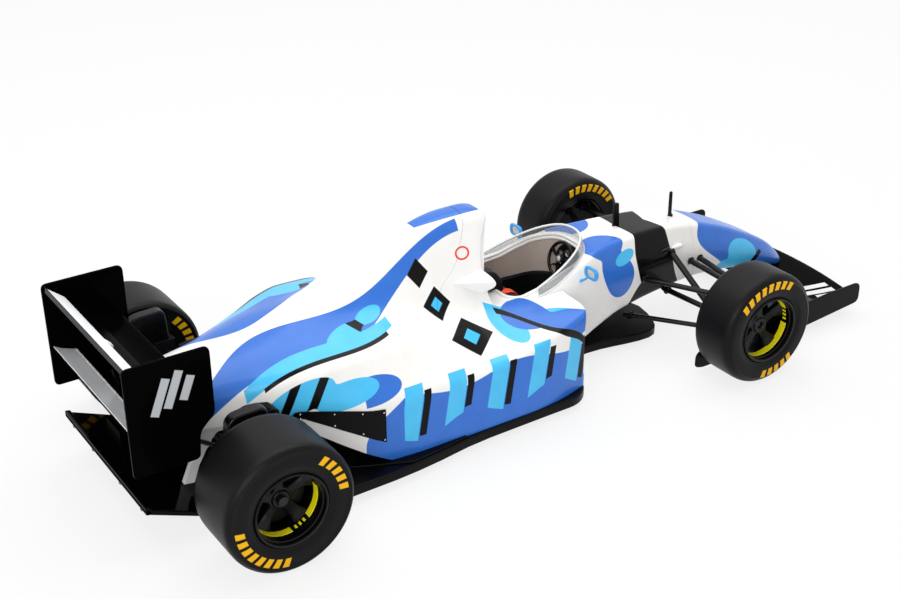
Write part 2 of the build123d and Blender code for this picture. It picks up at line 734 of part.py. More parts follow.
# elements across the wing: leading edge (ahead of the plates' rear edge, z), trailing edge, thickness
wing_rows = [
    ("rear_wing_main", (19.6, rear_wing_top - 12.4), (9.2, rear_wing_top - 9.2), 1.5),
    ("rear_wing_flap", (9.9, rear_wing_top - 8.0), (1.0, rear_wing_top - 1.4), 1.1),
    ("rear_beam_wing", (10.6, beam_wing_height - 2.9), (0.6, beam_wing_height), 1.3),
]
elements = []
for name, lead, trail, thickness in wing_rows:
    leading = (rear_plate_x + lead[0], lead[1])
    trailing = (rear_plate_x + trail[0], trail[1])
    with BuildPart() as element:
        add(aerofoil(leading, trailing, thickness, -half_wing, half_wing))
    element.part.label = name
    export_step(element.part, f"parts/{name}.step")
    elements.append(element.part)

pylon_thickness = 1.2
pylon_inner = 2.0           # centre line to the inner face of a pylon
pylon_outline = [
    (gearbox_rear_x, crash_top),
    (crash_rear_x, crash_top),
    (rear_plate_x + 4.0, beam_wing_height),
    (rear_plate_x + 9.6, rear_wing_top - 8.8),
    (rear_plate_x + 16.0, rear_wing_top - 11.4),
    (rear_plate_x + 12.0, beam_wing_height - 3.0),
]
with BuildPart() as wing_pylon:
    for y in (-pylon_inner - pylon_thickness, pylon_inner):
        add(plate(pylon_outline, y, y + pylon_thickness))
    for piece in elements:
        add(piece, mode=Mode.SUBTRACT)
wing_pylon.part.label = "wing_pylon"
export_step(wing_pylon.part, "parts/wing_pylon.step")

# ---------------------------------------------------------------- front wing
wing_lead = (wing_tip_x, front_wing_height + front_wing_thickness)
wing_trail = (wing_tip_x - front_wing_chord, wing_lead[1] + 0.6)
wing_half = front_wing_half_span - front_plate_thickness
with BuildPart() as front_wing:
    add(aerofoil(wing_lead, wing_trail, front_wing_thickness, -wing_half, wing_half))
    add(nose_cone.part, mode=Mode.SUBTRACT)
front_wing.part.label = "front_wing_main"
export_step(front_wing.part, "parts/front_wing_main.step")

flap_thickness = 1.1
flap_lead = (wing_tip_x - front_wing_chord * 0.78, wing_lead[1] + 1.2)
flap_trail = (flap_lead[0] - front_flap_chord, wing_lead[1] + 5.2)
with BuildPart() as front_flaps:
    for side in (-1, 1):
        low, high = spread(side, front_flap_inner, wing_half)
        add(aerofoil(flap_lead, flap_trail, flap_thickness, low, high))
    add(nose_cone.part, mode=Mode.SUBTRACT)
front_flaps.part.label = "front_wing_flaps"
export_step(front_flaps.part, "parts/front_wing_flaps.step")

front_plate_x = wing_tip_x - 3.6 - front_plate_length
# side view of a front endplate: share of its length from the rear, z
front_plate_rows = [
    (0.0, 2.0),
    (0.0, 6.5),
    (0.06, 8.4),
    (0.55, 10.2),
    (0.8, 11.4),
    (1.0, 11.4),
    (1.0, 4.2),
    (0.5, 1.2),
    (0.04, 1.2),
]
front_plate_outline = [(front_plate_x + share * front_plate_length, z) for share, z in front_plate_rows]
for side, name in ((1, "front_endplate_left"), (-1, "front_endplate_right")):
    low, high = spread(side, wing_half, front_wing_half_span)
    with BuildPart() as endplate:
        add(plate(front_plate_outline, low, high))
    endplate.part.label = name
    export_step(endplate.part, f"parts/{name}.step")

# ---------------------------------------------------------------- wheels and suspension
front_sizes = (front_axle_x, front_tyre_radius, front_tyre_width, front_track_outer, front_rim_radius)
rear_sizes = (rear_axle_x, rear_tyre_radius, rear_tyre_width, rear_track_outer, rear_rim_radius)
# place, side, (axle x, tyre radius, tyre width, centre line to the outer face, rim radius)
corners = [
    ("front_left", 1, front_sizes),
    ("front_right", -1, front_sizes),
    ("rear_left", 1, rear_sizes),
    ("rear_right", -1, rear_sizes),
]
hub_radius = 3.0
hub_neck_radius = 2.4
spoke_width = 3.2
spoke_depth = 2.2
nut_radius = 1.9
nut_height = 1.6
axle_reach = 3.2            # stub axle's length inside the hub
upright_radius = 8.2
upright_thickness = 3.0
upright_gap = 0.6           # between the upright and the hub
shaft_radius = 1.1
arm_root = half_gearbox - 1.0

# inner end (axle forward, y, height over the axle), outer end (axle forward, height), radius, squash
front_arms = [
    (-15.5, 10.0, 4.6, -3.0, 6.7, 0.75, 1.0),
    (8.0, 8.5, 4.8, 2.0, 6.9, 0.95, 1.0),
    (12.5, 8.0, 4.8, 5.0, 5.4, 0.95, 1.0),
    (-1.0, 9.0, 11.8, -4.0, -6.4, 1.2, 0.6),
    (-20.5, 10.0, -7.2, -3.0, -4.4, 0.7, 1.0),
    (-2.5, 8.0, -3.6, 2.0, -4.4, 0.7, 1.0),
]
rear_arms = [
    (12.0, arm_root, 0.4, 3.0, 5.9, 0.8, 1.0),
    (-9.0, arm_root, 0.4, -2.0, 5.9, 0.8, 1.0),
    (12.0, arm_root, -9.4, 2.0, -6.0, 0.8, 1.0),
    (-3.0, arm_root, -9.1, -2.0, -6.0, 0.8, 1.0),
    (0.0, arm_root, 0.0, 0.0, 0.0, shaft_radius, 1.0),
]

# side view of a rear brake duct's back plate: (axle forward, height over the axle)
duct_plate_rows = [(-4.5, -8.5), (-4.5, 14.5), (7.6, 14.5), (7.6, -8.5)]
duct_plate_thickness = 2.0
duct_plate_corner = 4.6
duct_plate_gap = 0.8        # between the back plate and the tyre
duct_block = 6.4            # size of the intake block on the back plate
duct_block_ahead = 1.0
duct_block_height = 4.0
duct_block_reach = 3.4

for place, side, sizes in corners:
    axle_x, tyre_radius, tyre_width, outer, rim_radius = sizes
    is_front = place.startswith("front")
    # profiles are drawn with the radius along X and the distance from the outer face along Z
    wheel_frame = Plane(origin=(axle_x, side * outer, tyre_radius), x_dir=(1, 0, 0), z_dir=(0, side, 0))
    bore = rim_radius + tyre_fit
    with BuildPart() as tyre:
        with BuildSketch(Plane.XZ):
            with BuildLine():
                FilletPolyline(
                    (bore, bead_depth),
                    (rim_radius + tyre_bead, 0.0),
                    (tyre_radius, 0.0),
                    (tyre_radius, tyre_width),
                    (rim_radius + tyre_bead, tyre_width),
                    (bore, tyre_width - bead_depth),
                    radius=(tyre_shoulder / 4, tyre_shoulder, tyre_shoulder, tyre_shoulder / 4),
                )
                Line((bore, bead_depth), (bore, tyre_width - bead_depth))
            make_face()
        revolve(axis=Axis.Z)
    tyre_solid = wheel_frame.offset(-tyre_width) * tyre.part
    tyre_solid.label = f"tyre_{place}"
    export_step(tyre_solid, f"parts/tyre_{place}.step")

    with BuildPart() as rim:
        with BuildSketch(Plane.XY):
            Circle(rim_radius)
            Circle(rim_radius - rim_wall, mode=Mode.SUBTRACT)
        extrude(amount=tyre_width)
        spoke_level = tyre_width - rim_recess - spoke_depth
        with BuildSketch(Plane.XY.offset(spoke_level)):
            Circle(hub_radius)
            for number in range(spoke_count):
                with Locations(Rot(0, 0, number * 360 / spoke_count) * Pos(rim_radius / 2, 0)):
                    Rectangle(rim_radius - rim_wall / 2, spoke_width)
            Circle(rim_radius - rim_wall / 2, mode=Mode.INTERSECT)
        extrude(amount=spoke_depth)
        with BuildSketch(Plane.XY.offset(spoke_level + spoke_depth)):
            RegularPolygon(nut_radius, 6)
        extrude(amount=nut_height)
        with BuildSketch(Plane.XY.offset(spoke_level - axle_reach)):
            Circle(hub_neck_radius)
        extrude(amount=axle_reach)
        with BuildSketch(Plane.XY.offset(spoke_level - axle_reach)):
            Circle(axle_radius + axle_clearance)
        extrude(amount=axle_reach + spoke_depth / 2, mode=Mode.SUBTRACT)
    rim_solid = wheel_frame.offset(-tyre_width) * rim.part
    rim_solid.label = f"rim_{place}"
    export_step(rim_solid, f"parts/rim_{place}.step")

    hub_inner = outer - rim_recess - spoke_depth - axle_reach
    upright_outer = hub_inner - upright_gap
    upright_inner = upright_outer - upright_thickness
    upright_frame = Plane(origin=(axle_x, 0, tyre_radius), x_dir=(1, 0, 0), z_dir=(0, side, 0))
    duct_outer_y = outer - tyre_width - duct_plate_gap
    duct_inner_y = duct_outer_y - duct_plate_thickness
    with BuildPart() as upright:
        with BuildSketch(upright_frame.offset(upright_inner)):
            Circle(upright_radius)
        extrude(amount=upright_thickness)
        with BuildSketch(upright_frame.offset(upright_outer)):
            Circle(axle_radius)
        extrude(amount=upright_gap + axle_reach + spoke_depth / 4)
        if not is_front:
            with BuildSketch(upright_frame.offset(duct_inner_y)):
                Circle(upright_radius * 0.7)
            extrude(amount=upright_inner - duct_inner_y)
            low, high = spread(side, duct_inner_y, duct_outer_y)
            back_plate = [(axle_x + reach, tyre_radius + rise) for reach, rise in duct_plate_rows]
            add(plate(back_plate, low, high, duct_plate_corner))
            low, high = spread(side, duct_inner_y - duct_block_reach, duct_inner_y)
            block_x = axle_x + duct_block_ahead
            block_z = tyre_radius + duct_block_height
            add(slab(block_x, block_x + duct_block, low, high, block_z, block_z + duct_block_height))
    upright.part.label = f"upright_{place}"
    export_step(upright.part, f"parts/upright_{place}.step")

    arm_rows = front_arms if is_front else rear_arms
    arm_end = upright_inner if is_front else duct_inner_y
    with BuildPart() as arms:
        for reach, inner_y, rise, outer_reach, outer_rise, radius, squash in arm_rows:
            start = (axle_x + reach, side * inner_y, tyre_radius + rise)
            end = (axle_x + outer_reach, side * (arm_end + 0.5), tyre_radius + outer_rise)
            add(rod(start, end, radius, squash))
        add(upright.part, mode=Mode.SUBTRACT)
        add((tub if is_front else gearbox).part, mode=Mode.SUBTRACT)
        add(nose_cone.part, mode=Mode.SUBTRACT)
    arms.part.label = f"suspension_{place}"
    export_step(arms.part, f"parts/suspension_{place}.step")
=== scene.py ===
import math

import bmesh
import bpy
import numpy as np
from mathutils import Matrix, Vector


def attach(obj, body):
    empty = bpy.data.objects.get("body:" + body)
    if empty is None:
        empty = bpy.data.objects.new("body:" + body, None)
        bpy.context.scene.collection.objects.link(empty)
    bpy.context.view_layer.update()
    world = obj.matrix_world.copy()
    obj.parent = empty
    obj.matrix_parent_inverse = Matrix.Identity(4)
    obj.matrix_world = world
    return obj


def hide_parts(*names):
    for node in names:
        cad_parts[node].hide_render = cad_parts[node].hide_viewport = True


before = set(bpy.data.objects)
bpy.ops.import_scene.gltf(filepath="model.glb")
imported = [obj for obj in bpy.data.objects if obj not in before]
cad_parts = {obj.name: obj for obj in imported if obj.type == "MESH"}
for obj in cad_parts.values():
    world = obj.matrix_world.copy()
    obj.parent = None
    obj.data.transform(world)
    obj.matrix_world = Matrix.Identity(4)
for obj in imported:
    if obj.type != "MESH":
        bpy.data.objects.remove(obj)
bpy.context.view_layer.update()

# All sizes below are in millimetres and all x places are measured forward from the rear axle,
# as in the part's own tables.  at() turns them into the frame's metres.
MM = 0.001
REAR_AXLE = -98.65
WHEELBASE = 164.5
SIDES = ((1, "left"), (-1, "right"))


def at(x, y, z):
    return Vector(((x + REAR_AXLE) * MM, y * MM, z * MM))


# ---------------------------------------------------------------- curves and meshes
def smooth_rows(xs, rows, x):
    """Smooth curves through table rows, with no overshoot: xs (n), rows (n, k), x (m) gives (m, k)."""
    xs, rows, x = np.asarray(xs, float), np.asarray(rows, float), np.asarray(x, float)
    h = np.diff(xs)[:, None]
    slope = np.diff(rows, axis=0) / h
    inner = np.where(slope[:-1] * slope[1:] > 0,
                     2 * slope[:-1] * slope[1:] / np.where(slope[:-1] + slope[1:] == 0, 1, slope[:-1] + slope[1:]), 0)
    tangent = np.vstack([slope[:1], inner, slope[-1:]])
    i = np.clip(np.searchsorted(xs, x) - 1, 0, len(xs) - 2)
    t = ((x - xs[i]) / (xs[i + 1] - xs[i]))[:, None]
    hi = h[i]
    return ((2 * t**3 - 3 * t**2 + 1) * rows[i] + (t**3 - 2 * t**2 + t) * hi * tangent[i]
            + (3 * t**2 - 2 * t**3) * rows[i + 1] + (t**3 - t**2) * hi * tangent[i + 1])


def rounded(points, reaches, straight, arc):
    """A polyline with its inner corners rounded off, with the same number of points each time."""
    p = np.asarray(points, float)
    out = []
    start = p[0]
    for k in range(1, len(p) - 1):
        before, after = p[k] - p[k - 1], p[k + 1] - p[k]
        lb, la = np.linalg.norm(before), np.linalg.norm(after)
        cut = min(reaches[k - 1], (0.96 if k == 1 else 0.48) * lb, (0.96 if k == len(p) - 2 else 0.48) * la)
        a, b = p[k] - before / lb * cut, p[k] + after / la * cut
        out += [start + (a - start) * t for t in np.linspace(0, 1, straight, endpoint=False)]
        out += [(1 - t)**2 * a + 2 * t * (1 - t) * p[k] + t**2 * b for t in np.linspace(0, 1, arc, endpoint=False)]
        start = b
    out += [start + (p[-1] - start) * t for t in np.linspace(0, 1, straight)]
    return np.array(out)


def shade(bm, angle=35):
    """Smooth shading with an edge wherever the surface turns by more than angle."""
    limit = math.radians(angle)
    for f in bm.faces:
        f.smooth = True
    for e in bm.edges:
        e.smooth = len(e.link_faces) == 2 and e.calc_face_angle(0) < limit


def to_mesh(bm, name, angle=35, weld=1e-7):
    bmesh.ops.remove_doubles(bm, verts=bm.verts, dist=weld)
    bmesh.ops.recalc_face_normals(bm, faces=bm.faces)
    shade(bm, angle)
    mesh = bpy.data.meshes.new(name)
    bm.to_mesh(mesh)
    bm.free()
    return mesh


def link(name, bm, look, angle=35, weld=1e-7, replaces=()):
    """A finished bmesh as a piece of the car's body, with its look and the nodes it replaces."""
    mesh = to_mesh(bm, name, angle, weld)
    piece = bpy.data.objects.new(name, mesh)
    bpy.context.scene.collection.objects.link(piece)
    mesh.materials.append(look.material)
    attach(piece, "car")
    if replaces:
        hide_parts(*replaces)
    return piece


def add_grid(bm, rings, closed=False, cap_start=False, cap_end=False):
    """Quads between rings of points (already Vectors in metres)."""
    rows = [[bm.verts.new(p) for p in ring] for ring in rings]
    n = len(rows[0])
    for a, b in zip(rows, rows[1:]):
        for k in range(n if closed else n - 1):
            m = (k + 1) % n
            bm.faces.new((a[k], a[m], b[m], b[k]))
    if cap_start:
        bm.faces.new(rows[0])
    if cap_end:
        bm.faces.new(list(reversed(rows[-1])))


def solid(bm, rings):
    """A closed body through rings of points, with a face at each end."""
    add_grid(bm, rings, closed=True, cap_start=True, cap_end=True)


def bevelled(piece, width, segments=2, angle=40):
    mod = piece.modifiers.new("edges", "BEVEL")
    mod.width = width * MM
    mod.segments = segments
    mod.limit_method = "ANGLE"
    mod.angle_limit = math.radians(angle)
    mod.harden_normals = True
    return piece


def tube(bm, path, radius, sides=10, squash=1.0):
    """A round bar along a path of Vectors."""
    rings = []
    path = [Vector(p) for p in path]
    for i, p in enumerate(path):
        d = (path[min(i + 1, len(path) - 1)] - path[max(i - 1, 0)]).normalized()
        side = d.cross(Vector((0, 0, 1)))
        if side.length < 1e-3:
            side = d.cross(Vector((1, 0, 0)))
        side.normalize()
        up = side.cross(d)
        r = radius[i] if hasattr(radius, "__len__") else radius
        rings.append([p + (side * math.cos(a) + up * math.sin(a) * squash) * r * MM
                      for a in (2 * math.pi * k / sides for k in range(sides))])
    solid(bm, rings)


def slab(outline, y_low, y_high):
    """A plate standing along the car, from its (x, z) outline."""
    bm = bmesh.new()
    near = [bm.verts.new(at(x, y_low, z)) for x, z in outline]
    back = [bm.verts.new(at(x, y_high, z)) for x, z in outline]
    bm.faces.new(near)
    bm.faces.new(list(reversed(back)))
    for k in range(len(near)):
        m = (k + 1) % len(near)
        bm.faces.new((near[m], near[k], back[k], back[m]))
    return bm


def plate(name, outline, y_low, y_high, look, angle, bevel, replaces=()):
    """A slab as a piece, with bevelled edges: bevel is (width, segments, angle)."""
    return bevelled(link(name, slab(outline, y_low, y_high), look, angle, replaces=replaces), *bevel)


def thickened(piece, thickness, offset):
    mod = piece.modifiers.new("thickness", "SOLIDIFY")
    mod.thickness, mod.offset = thickness * MM, offset
    return piece


# ---------------------------------------------------------------- materials
class Shader:
    """A Principled material, with helpers for small graphs of maths nodes."""

    def __init__(self, name, colour, roughness, coat=0.0, coat_roughness=0.05, metallic=0.0, specular=0.5):
        self.material = bpy.data.materials.new(name)
        self.material.use_nodes = True
        self.tree = self.material.node_tree
        self.bsdf = self.tree.nodes["Principled BSDF"]
        self.bsdf.inputs["Base Color"].default_value = (*colour, 1)
        self.bsdf.inputs["Roughness"].default_value = roughness
        self.bsdf.inputs["Metallic"].default_value = metallic
        self.bsdf.inputs["Specular IOR Level"].default_value = specular
        self.bsdf.inputs["Coat Weight"].default_value = coat
        self.bsdf.inputs["Coat Roughness"].default_value = coat_roughness
        self.material.diffuse_color = (*colour, 1)

    def node(self, kind, **settings):
        made = self.tree.nodes.new(kind)
        for key, value in settings.items():
            setattr(made, key, value)
        return made

    def wire(self, value, socket):
        if isinstance(value, bpy.types.NodeSocket):
            self.tree.links.new(value, socket)
        else:
            socket.default_value = value

    def math(self, operation, *values, clamp=False):
        made = self.node("ShaderNodeMath", operation=operation, use_clamp=clamp)
        for k, value in enumerate(values):
            self.wire(value, made.inputs[k])
        return made.outputs[0]

    def mix(self, factor, a, b):
        made = self.node("ShaderNodeMix", data_type="RGBA")
        self.wire(factor, made.inputs["Factor"])
        for value, socket in ((a, made.inputs[6]), (b, made.inputs[7])):
            self.wire(value if isinstance(value, bpy.types.NodeSocket) else (*value, 1), socket)
        return made.outputs[2]

    def place(self):
        """x, y and z in millimetres of the piece's own coordinates."""
        split = self.node("ShaderNodeSeparateXYZ")
        scale = self.node("ShaderNodeVectorMath", operation="SCALE")
        self.wire(self.node("ShaderNodeTexCoord").outputs["Object"], scale.inputs[0])
        scale.inputs["Scale"].default_value = 1000
        self.wire(scale.outputs[0], split.inputs[0])
        return split.outputs

    def noise(self, scale, detail):
        """Noise over the piece's own coordinates, scale in cells per metre."""
        made = self.node("ShaderNodeTexNoise")
        made.inputs["Scale"].default_value = scale
        made.inputs["Detail"].default_value = detail
        self.wire(self.node("ShaderNodeTexCoord").outputs["Object"], made.inputs["Vector"])
        return made.outputs["Fac"]

    def emboss(self, height, depth):
        """A bump from a height, depth in millimetres."""
        bump = self.node("ShaderNodeBump")
        bump.inputs["Distance"].default_value = depth * MM
        self.wire(height, bump.inputs["Height"])
        self.wire(bump.outputs["Normal"], self.bsdf.inputs["Normal"])

    def grain(self, scale, depth, detail=2.0):
        """A fine bump from noise."""
        self.emboss(self.noise(scale, detail), depth)

    def fleck(self, scale, low, high):
        """Roughness that varies a little over the surface."""
        spread = self.node("ShaderNodeMapRange")
        spread.inputs["To Min"].default_value, spread.inputs["To Max"].default_value = low, high
        self.wire(self.noise(scale, 3.0), spread.inputs["Value"])
        self.wire(spread.outputs["Result"], self.bsdf.inputs["Roughness"])


def srgb(code):
    """Linear colour from a hex code."""
    parts = [int(code[k:k + 2], 16) / 255 for k in (0, 2, 4)]
    return tuple(c / 12.92 if c <= 0.04045 else ((c + 0.055) / 1.055)**2.4 for c in parts)


WHITE = srgb("f1f0ec")
INK = srgb("040405")


FLECK_SCALE = 160


def plain(name, code, rough, grain=None, **more):
    """A finish with a slightly uneven gloss and, where grain is given, a fine surface texture."""
    shader = Shader(name, srgb(code), rough, **more)
    shader.fleck(FLECK_SCALE, rough * 0.82, rough * 1.18)
    if grain:
        shader.grain(*grain)
    return shader


paint = Shader("body_paint", WHITE, 0.32, coat=0.12, coat_roughness=0.08, specular=0.28)
white = plain("white_paint", "f4f3f0", 0.32, (900, 0.004), coat=0.12, coat_roughness=0.08, specular=0.3)
gloss_black = plain("gloss_black", "040405", 0.08, specular=0.07)
wing_black = plain("wing_black", "030304", 0.22, specular=0.06)
# a low IOR keeps the white surroundings out of the grazing reflections
wing_black.bsdf.inputs["IOR"].default_value = 1.07
satin_black = plain("satin_black", "060608", 0.3, (1500, 0.01), specular=0.1)
trim_black = plain("trim_black", "070708", 0.26, specular=0.2)
arm_black = plain("suspension_black", "060608", 0.26, (1200, 0.006), specular=0.16)
rim_black = plain("rim_black", "0d0e10", 0.32, specular=0.22)
lip_black = plain("rim_lip", "040405", 0.3, specular=0.2)
duct_black = plain("duct_black", "111215", 0.34, specular=0.34)
# a pale finish for the strips on the rear wings and for the flap's bracket; on the strips it also stands in for the
# reflection of the light
pale_trim_and_reflection = plain("silver_paint", "f8fafc", 0.3, specular=0.5)
# near white for painted highlights along the edges of the beam wing's trim
painted_edge_highlight = plain("painted_edge_highlight", "fbfbfa", 0.35)
sky_paint = plain("mirror_paint", "1ea0ec", 0.28, coat=0.2)
mirror_glass = plain("mirror_glass", "c9c6c4", 0.12, metallic=0.4)
orange = Shader("belt_webbing", srgb("ea3f12"), 0.7)
lining = plain("lining", "c2b6ac", 0.75, (2600, 0.03))
seat_black = plain("seat_black", "060607", 0.5, (2400, 0.02), specular=0.2)
steel = plain("bare_steel", "c9cbce", 0.25, metallic=1.0)
yellow = plain("band_yellow", "f7ea08", 0.4)
screen = plain("clear_screen", "8f969d", 0.05)
screen.bsdf.inputs["Alpha"].default_value = 0.34
# near white for the windscreen's edge: a painted highlight
screen_edge_highlight = plain("screen_edge_highlight", "f3f3f1", 0.25)
screen_edge_highlight.bsdf.inputs["Alpha"].default_value = 0.9
core_grey = plain("core_grey", "303236", 0.45, metallic=0.6)
# black for the insides of inlets, recesses and wheels: painted shade
painted_shade = plain("painted_shade_black", "050505", 0.7, specular=0.1)
red = plain("belt_buckle", "b3231a", 0.4)


def weave(shader, pitch, depth):
    """Fine ribs across a strap, over its own coordinates, with painted shade: darker in the grooves and lighter on the
    ribs' tops.
    """
    wave = shader.node("ShaderNodeTexWave", wave_type="BANDS", bands_direction="DIAGONAL")
    wave.inputs["Scale"].default_value = 1 / (pitch * MM) / 20
    shader.wire(shader.node("ShaderNodeTexCoord").outputs["Object"], wave.inputs["Vector"])
    shader.emboss(wave.outputs["Fac"], depth)
    shader.wire(shader.mix(wave.outputs["Fac"], srgb("c9300a"), srgb("ff5424")), shader.bsdf.inputs["Base Color"])


weave(orange, 0.22, 0.03)


class Field:
    """Flat shapes in a material, drawn from distances in millimetres (negative inside)."""

    def __init__(self, shader, u, v):
        self.s, self.u, self.v = shader, u, v

    def turned(self, cu, cv, degrees):
        s = self.s
        du, dv = s.math("SUBTRACT", self.u, cu), s.math("SUBTRACT", self.v, cv)
        if degrees == 0:
            return du, dv
        c, n = math.cos(math.radians(degrees)), math.sin(math.radians(degrees))
        return (s.math("MULTIPLY_ADD", du, c, s.math("MULTIPLY", dv, n)),
                s.math("MULTIPLY_ADD", dv, c, s.math("MULTIPLY", du, -n)))

    def oval(self, cu, cv, ru, rv, degrees=0):
        s = self.s
        a, b = self.turned(cu, cv, degrees)
        a, b = s.math("DIVIDE", a, ru), s.math("DIVIDE", b, rv)
        r = s.math("SQRT", s.math("MULTIPLY_ADD", a, a, s.math("MULTIPLY", b, b)))
        return s.math("MULTIPLY", s.math("SUBTRACT", r, 1.0), min(ru, rv))

    def bar(self, cu, cv, half_length, half_width, degrees=0):
        s = self.s
        a, b = self.turned(cu, cv, degrees)
        return s.math("MAXIMUM", s.math("SUBTRACT", s.math("ABSOLUTE", a), half_length),
                      s.math("SUBTRACT", s.math("ABSOLUTE", b), half_width))

    def diamond(self, cu, cv, ru, rv, degrees=0):
        s = self.s
        a, b = self.turned(cu, cv, degrees)
        a, b = s.math("DIVIDE", s.math("ABSOLUTE", a), ru), s.math("DIVIDE", s.math("ABSOLUTE", b), rv)
        return s.math("MULTIPLY", s.math("SUBTRACT", s.math("ADD", a, b), 1.0), min(ru, rv) * 0.7)

    def wave(self, start, rise, size, length, phase=0.0):
        """Height over a wavy line v = start + rise u + size sin(u / length + phase)."""
        s = self.s
        swing = s.math("SINE", s.math("MULTIPLY_ADD", self.u, 1 / length, phase))
        line = s.math("MULTIPLY_ADD", swing, size, s.math("MULTIPLY_ADD", self.u, rise, start))
        return s.math("SUBTRACT", self.v, line)

    def ribbon(self, start, rise, size, length, phase, half, swell=0.0):
        """A band along a wavy line, that swells and narrows."""
        s = self.s
        d = s.math("ABSOLUTE", self.wave(start, rise, size, length, phase))
        if swell:
            width = s.math("MULTIPLY_ADD", s.math("SINE", s.math("MULTIPLY", self.u, 0.6 / length)), swell, half)
            return s.math("SUBTRACT", d, width)
        return s.math("SUBTRACT", d, half)

    def join(self, a, b, soft=0.0):
        return self.s.math("SMOOTH_MIN", a, b, soft) if soft else self.s.math("MINIMUM", a, b)

    def within(self, *distances):
        d = distances[0]
        for other in distances[1:]:
            d = self.s.math("MAXIMUM", d, other)
        return d

    def ink(self, distance, edge=0.14):
        return self.s.math("MULTIPLY_ADD", distance, -1 / edge, 0.5, clamp=True)


# ---------------------------------------------------------------- livery
# Drawn in the side view: u is the distance ahead of the rear axle, v is the height less a share
# of the distance from the centre line, so the pattern runs from the side on to the deck.
LEAN = 0.7
PITCH = 14.4  # of the bars along the sidepods
BARS_FROM, BARS_TO = 46.0, 112.0
px, py, pz = paint.place()
u = paint.math("SUBTRACT", px, REAR_AXLE)
v = paint.math("MULTIPLY_ADD", paint.math("ABSOLUTE", py), -LEAN, pz)
F = Field(paint, u, v)
G = Field(paint, v, u)  # bands across the car: here the first axis is v


def minus(a, b):
    return paint.math("SUBTRACT", a, b)


def size(a):
    return paint.math("ABSOLUTE", a)


def ahead(place):
    """A distance that is negative ahead of a place."""
    return minus(place, u)


def behind(place):
    return minus(u, place)


shoulder = F.wave(-0.9, 0.0, 1.5, 6.2, 0.6)
aft_edge = paint.math("MULTIPLY", G.wave(44.5, 0.75, 2.8, 3.6, 0.4), -1.0)
below_shoulder = F.within(shoulder, aft_edge, behind(114.5))
# the bars lean a little; across is the distance from the start of each pitch
slanted = paint.math("MULTIPLY_ADD", v, -0.16, minus(u, 45.0))
across = paint.math("MULTIPLY", paint.math("FRACT", paint.math("DIVIDE", slanted, PITCH)), PITCH)
reach = paint.math("MULTIPLY_ADD", paint.math("SINE", paint.math("MULTIPLY", u, 0.21)), 2.2, -12.6)
foot = minus(reach, v)
sky_bar = F.within(minus(size(minus(across, 4.4)), 2.9), foot, minus(v, 3.6), ahead(BARS_FROM), behind(BARS_TO))
ink_bar = F.within(minus(size(minus(across, 8.7)), 1.15), paint.math("ADD", foot, 1.4), minus(v, 0.9),
                   ahead(BARS_FROM), behind(BARS_TO))

upper = F.ribbon(19.5, 0.36, 4.2, 10.0, 0.3, 4.6, 2.4)
upper = F.within(upper, behind(82.5))
upper = F.join(upper, F.within(minus(55.6, v), ahead(70.0), behind(92.0)))
upper_sky = F.within(F.ribbon(12.6, 0.34, 3.6, 10.0, 0.0, 1.9, 0.9), ahead(7.0), behind(52.0))
pad = F.join(F.oval(20, 11.0, 9.5, 4.6, 14), F.oval(32, 7.5, 8.5, 4.4, 4), 2.0)
pad_bars = F.join(F.bar(17.5, 11.5, 7.5, 1.2, 62), F.bar(24.5, 10.5, 7.5, 1.2, 62))
pad_bars = F.within(pad_bars, pad)
pad_deep = F.within(F.oval(38, 6.0, 9.0, 5.0, 0), ahead(35.5))
gems = F.join(F.diamond(66.5, 40.0, 3.4, 5.2, -6), F.diamond(70.0, 27.8, 4.6, 6.4, -6))
gems = F.join(gems, F.diamond(75.0, 13.2, 7.4, 7.6, -6))
upper_ink = F.within(F.ribbon(9.9, 0.34, 3.6, 10.0, 0.0, 0.75), ahead(12.0), behind(49.0))
tongue = F.join(F.oval(38.0, 27.0, 6.6, 3.0, 24), F.oval(47.5, 31.2, 4.6, 2.6, 24), 1.6)
tongue_ink = F.within(tongue, F.bar(42.6, 29.0, 1.5, 9.0, 24))
gem_cut = F.join(F.diamond(70.0, 27.8, 1.9, 2.7, -6), F.diamond(75.0, 13.2, 3.0, 3.2, -6))

deck = F.join(F.oval(95.0, 15.0, 7.5, 6.4, -24), F.oval(106.0, 7.0, 8.0, 5.2, -12), 3.0)
deck_sky = F.within(F.ribbon(62.0, -0.5, 1.4, 4.0, 0.0, 3.0), ahead(84.5), behind(113.0))
deck_sky = F.join(deck_sky, F.oval(88.0, 13.0, 4.2, 8.0, 12), 2.0)
deck_ink = F.within(F.ribbon(93.0, -0.86, 1.6, 3.4, 0.6, 1.3), ahead(87.0), behind(111.0))

collar = F.join(F.oval(138.0, 19.0, 6.4, 9.0, 24), F.oval(134.5, 30.5, 7.5, 5.4, 0), 3.0)
collar_sky = F.oval(141.5, 24.0, 4.4, 2.4, 24)
sash = G.ribbon(163.5, -0.36, 2.6, 6.6, 2.2, 6.2, 1.6)
sash_fork = F.join(F.oval(148.5, 6.5, 9.5, 3.6, 62), F.oval(141.0, 2.5, 5.2, 2.6, 20), 3.0)
nose_blue = paint.math("MULTIPLY", G.wave(188.0, -0.42, 4.2, 4.6, 0.2), -1.0)
nose_sky = F.join(F.oval(195.5, 12.5, 7.4, 5.2, -24), F.oval(187.5, 5.0, 6.0, 6.4, 10), 2.4)
nose_ink = F.join(F.bar(202.5, 8.6, 3.4, 0.95, 40), F.bar(197.2, 5.0, 4.2, 0.95, 4))
ring = minus(size(F.oval(82.0, 42.3, 2.1, 2.1)), 0.32)

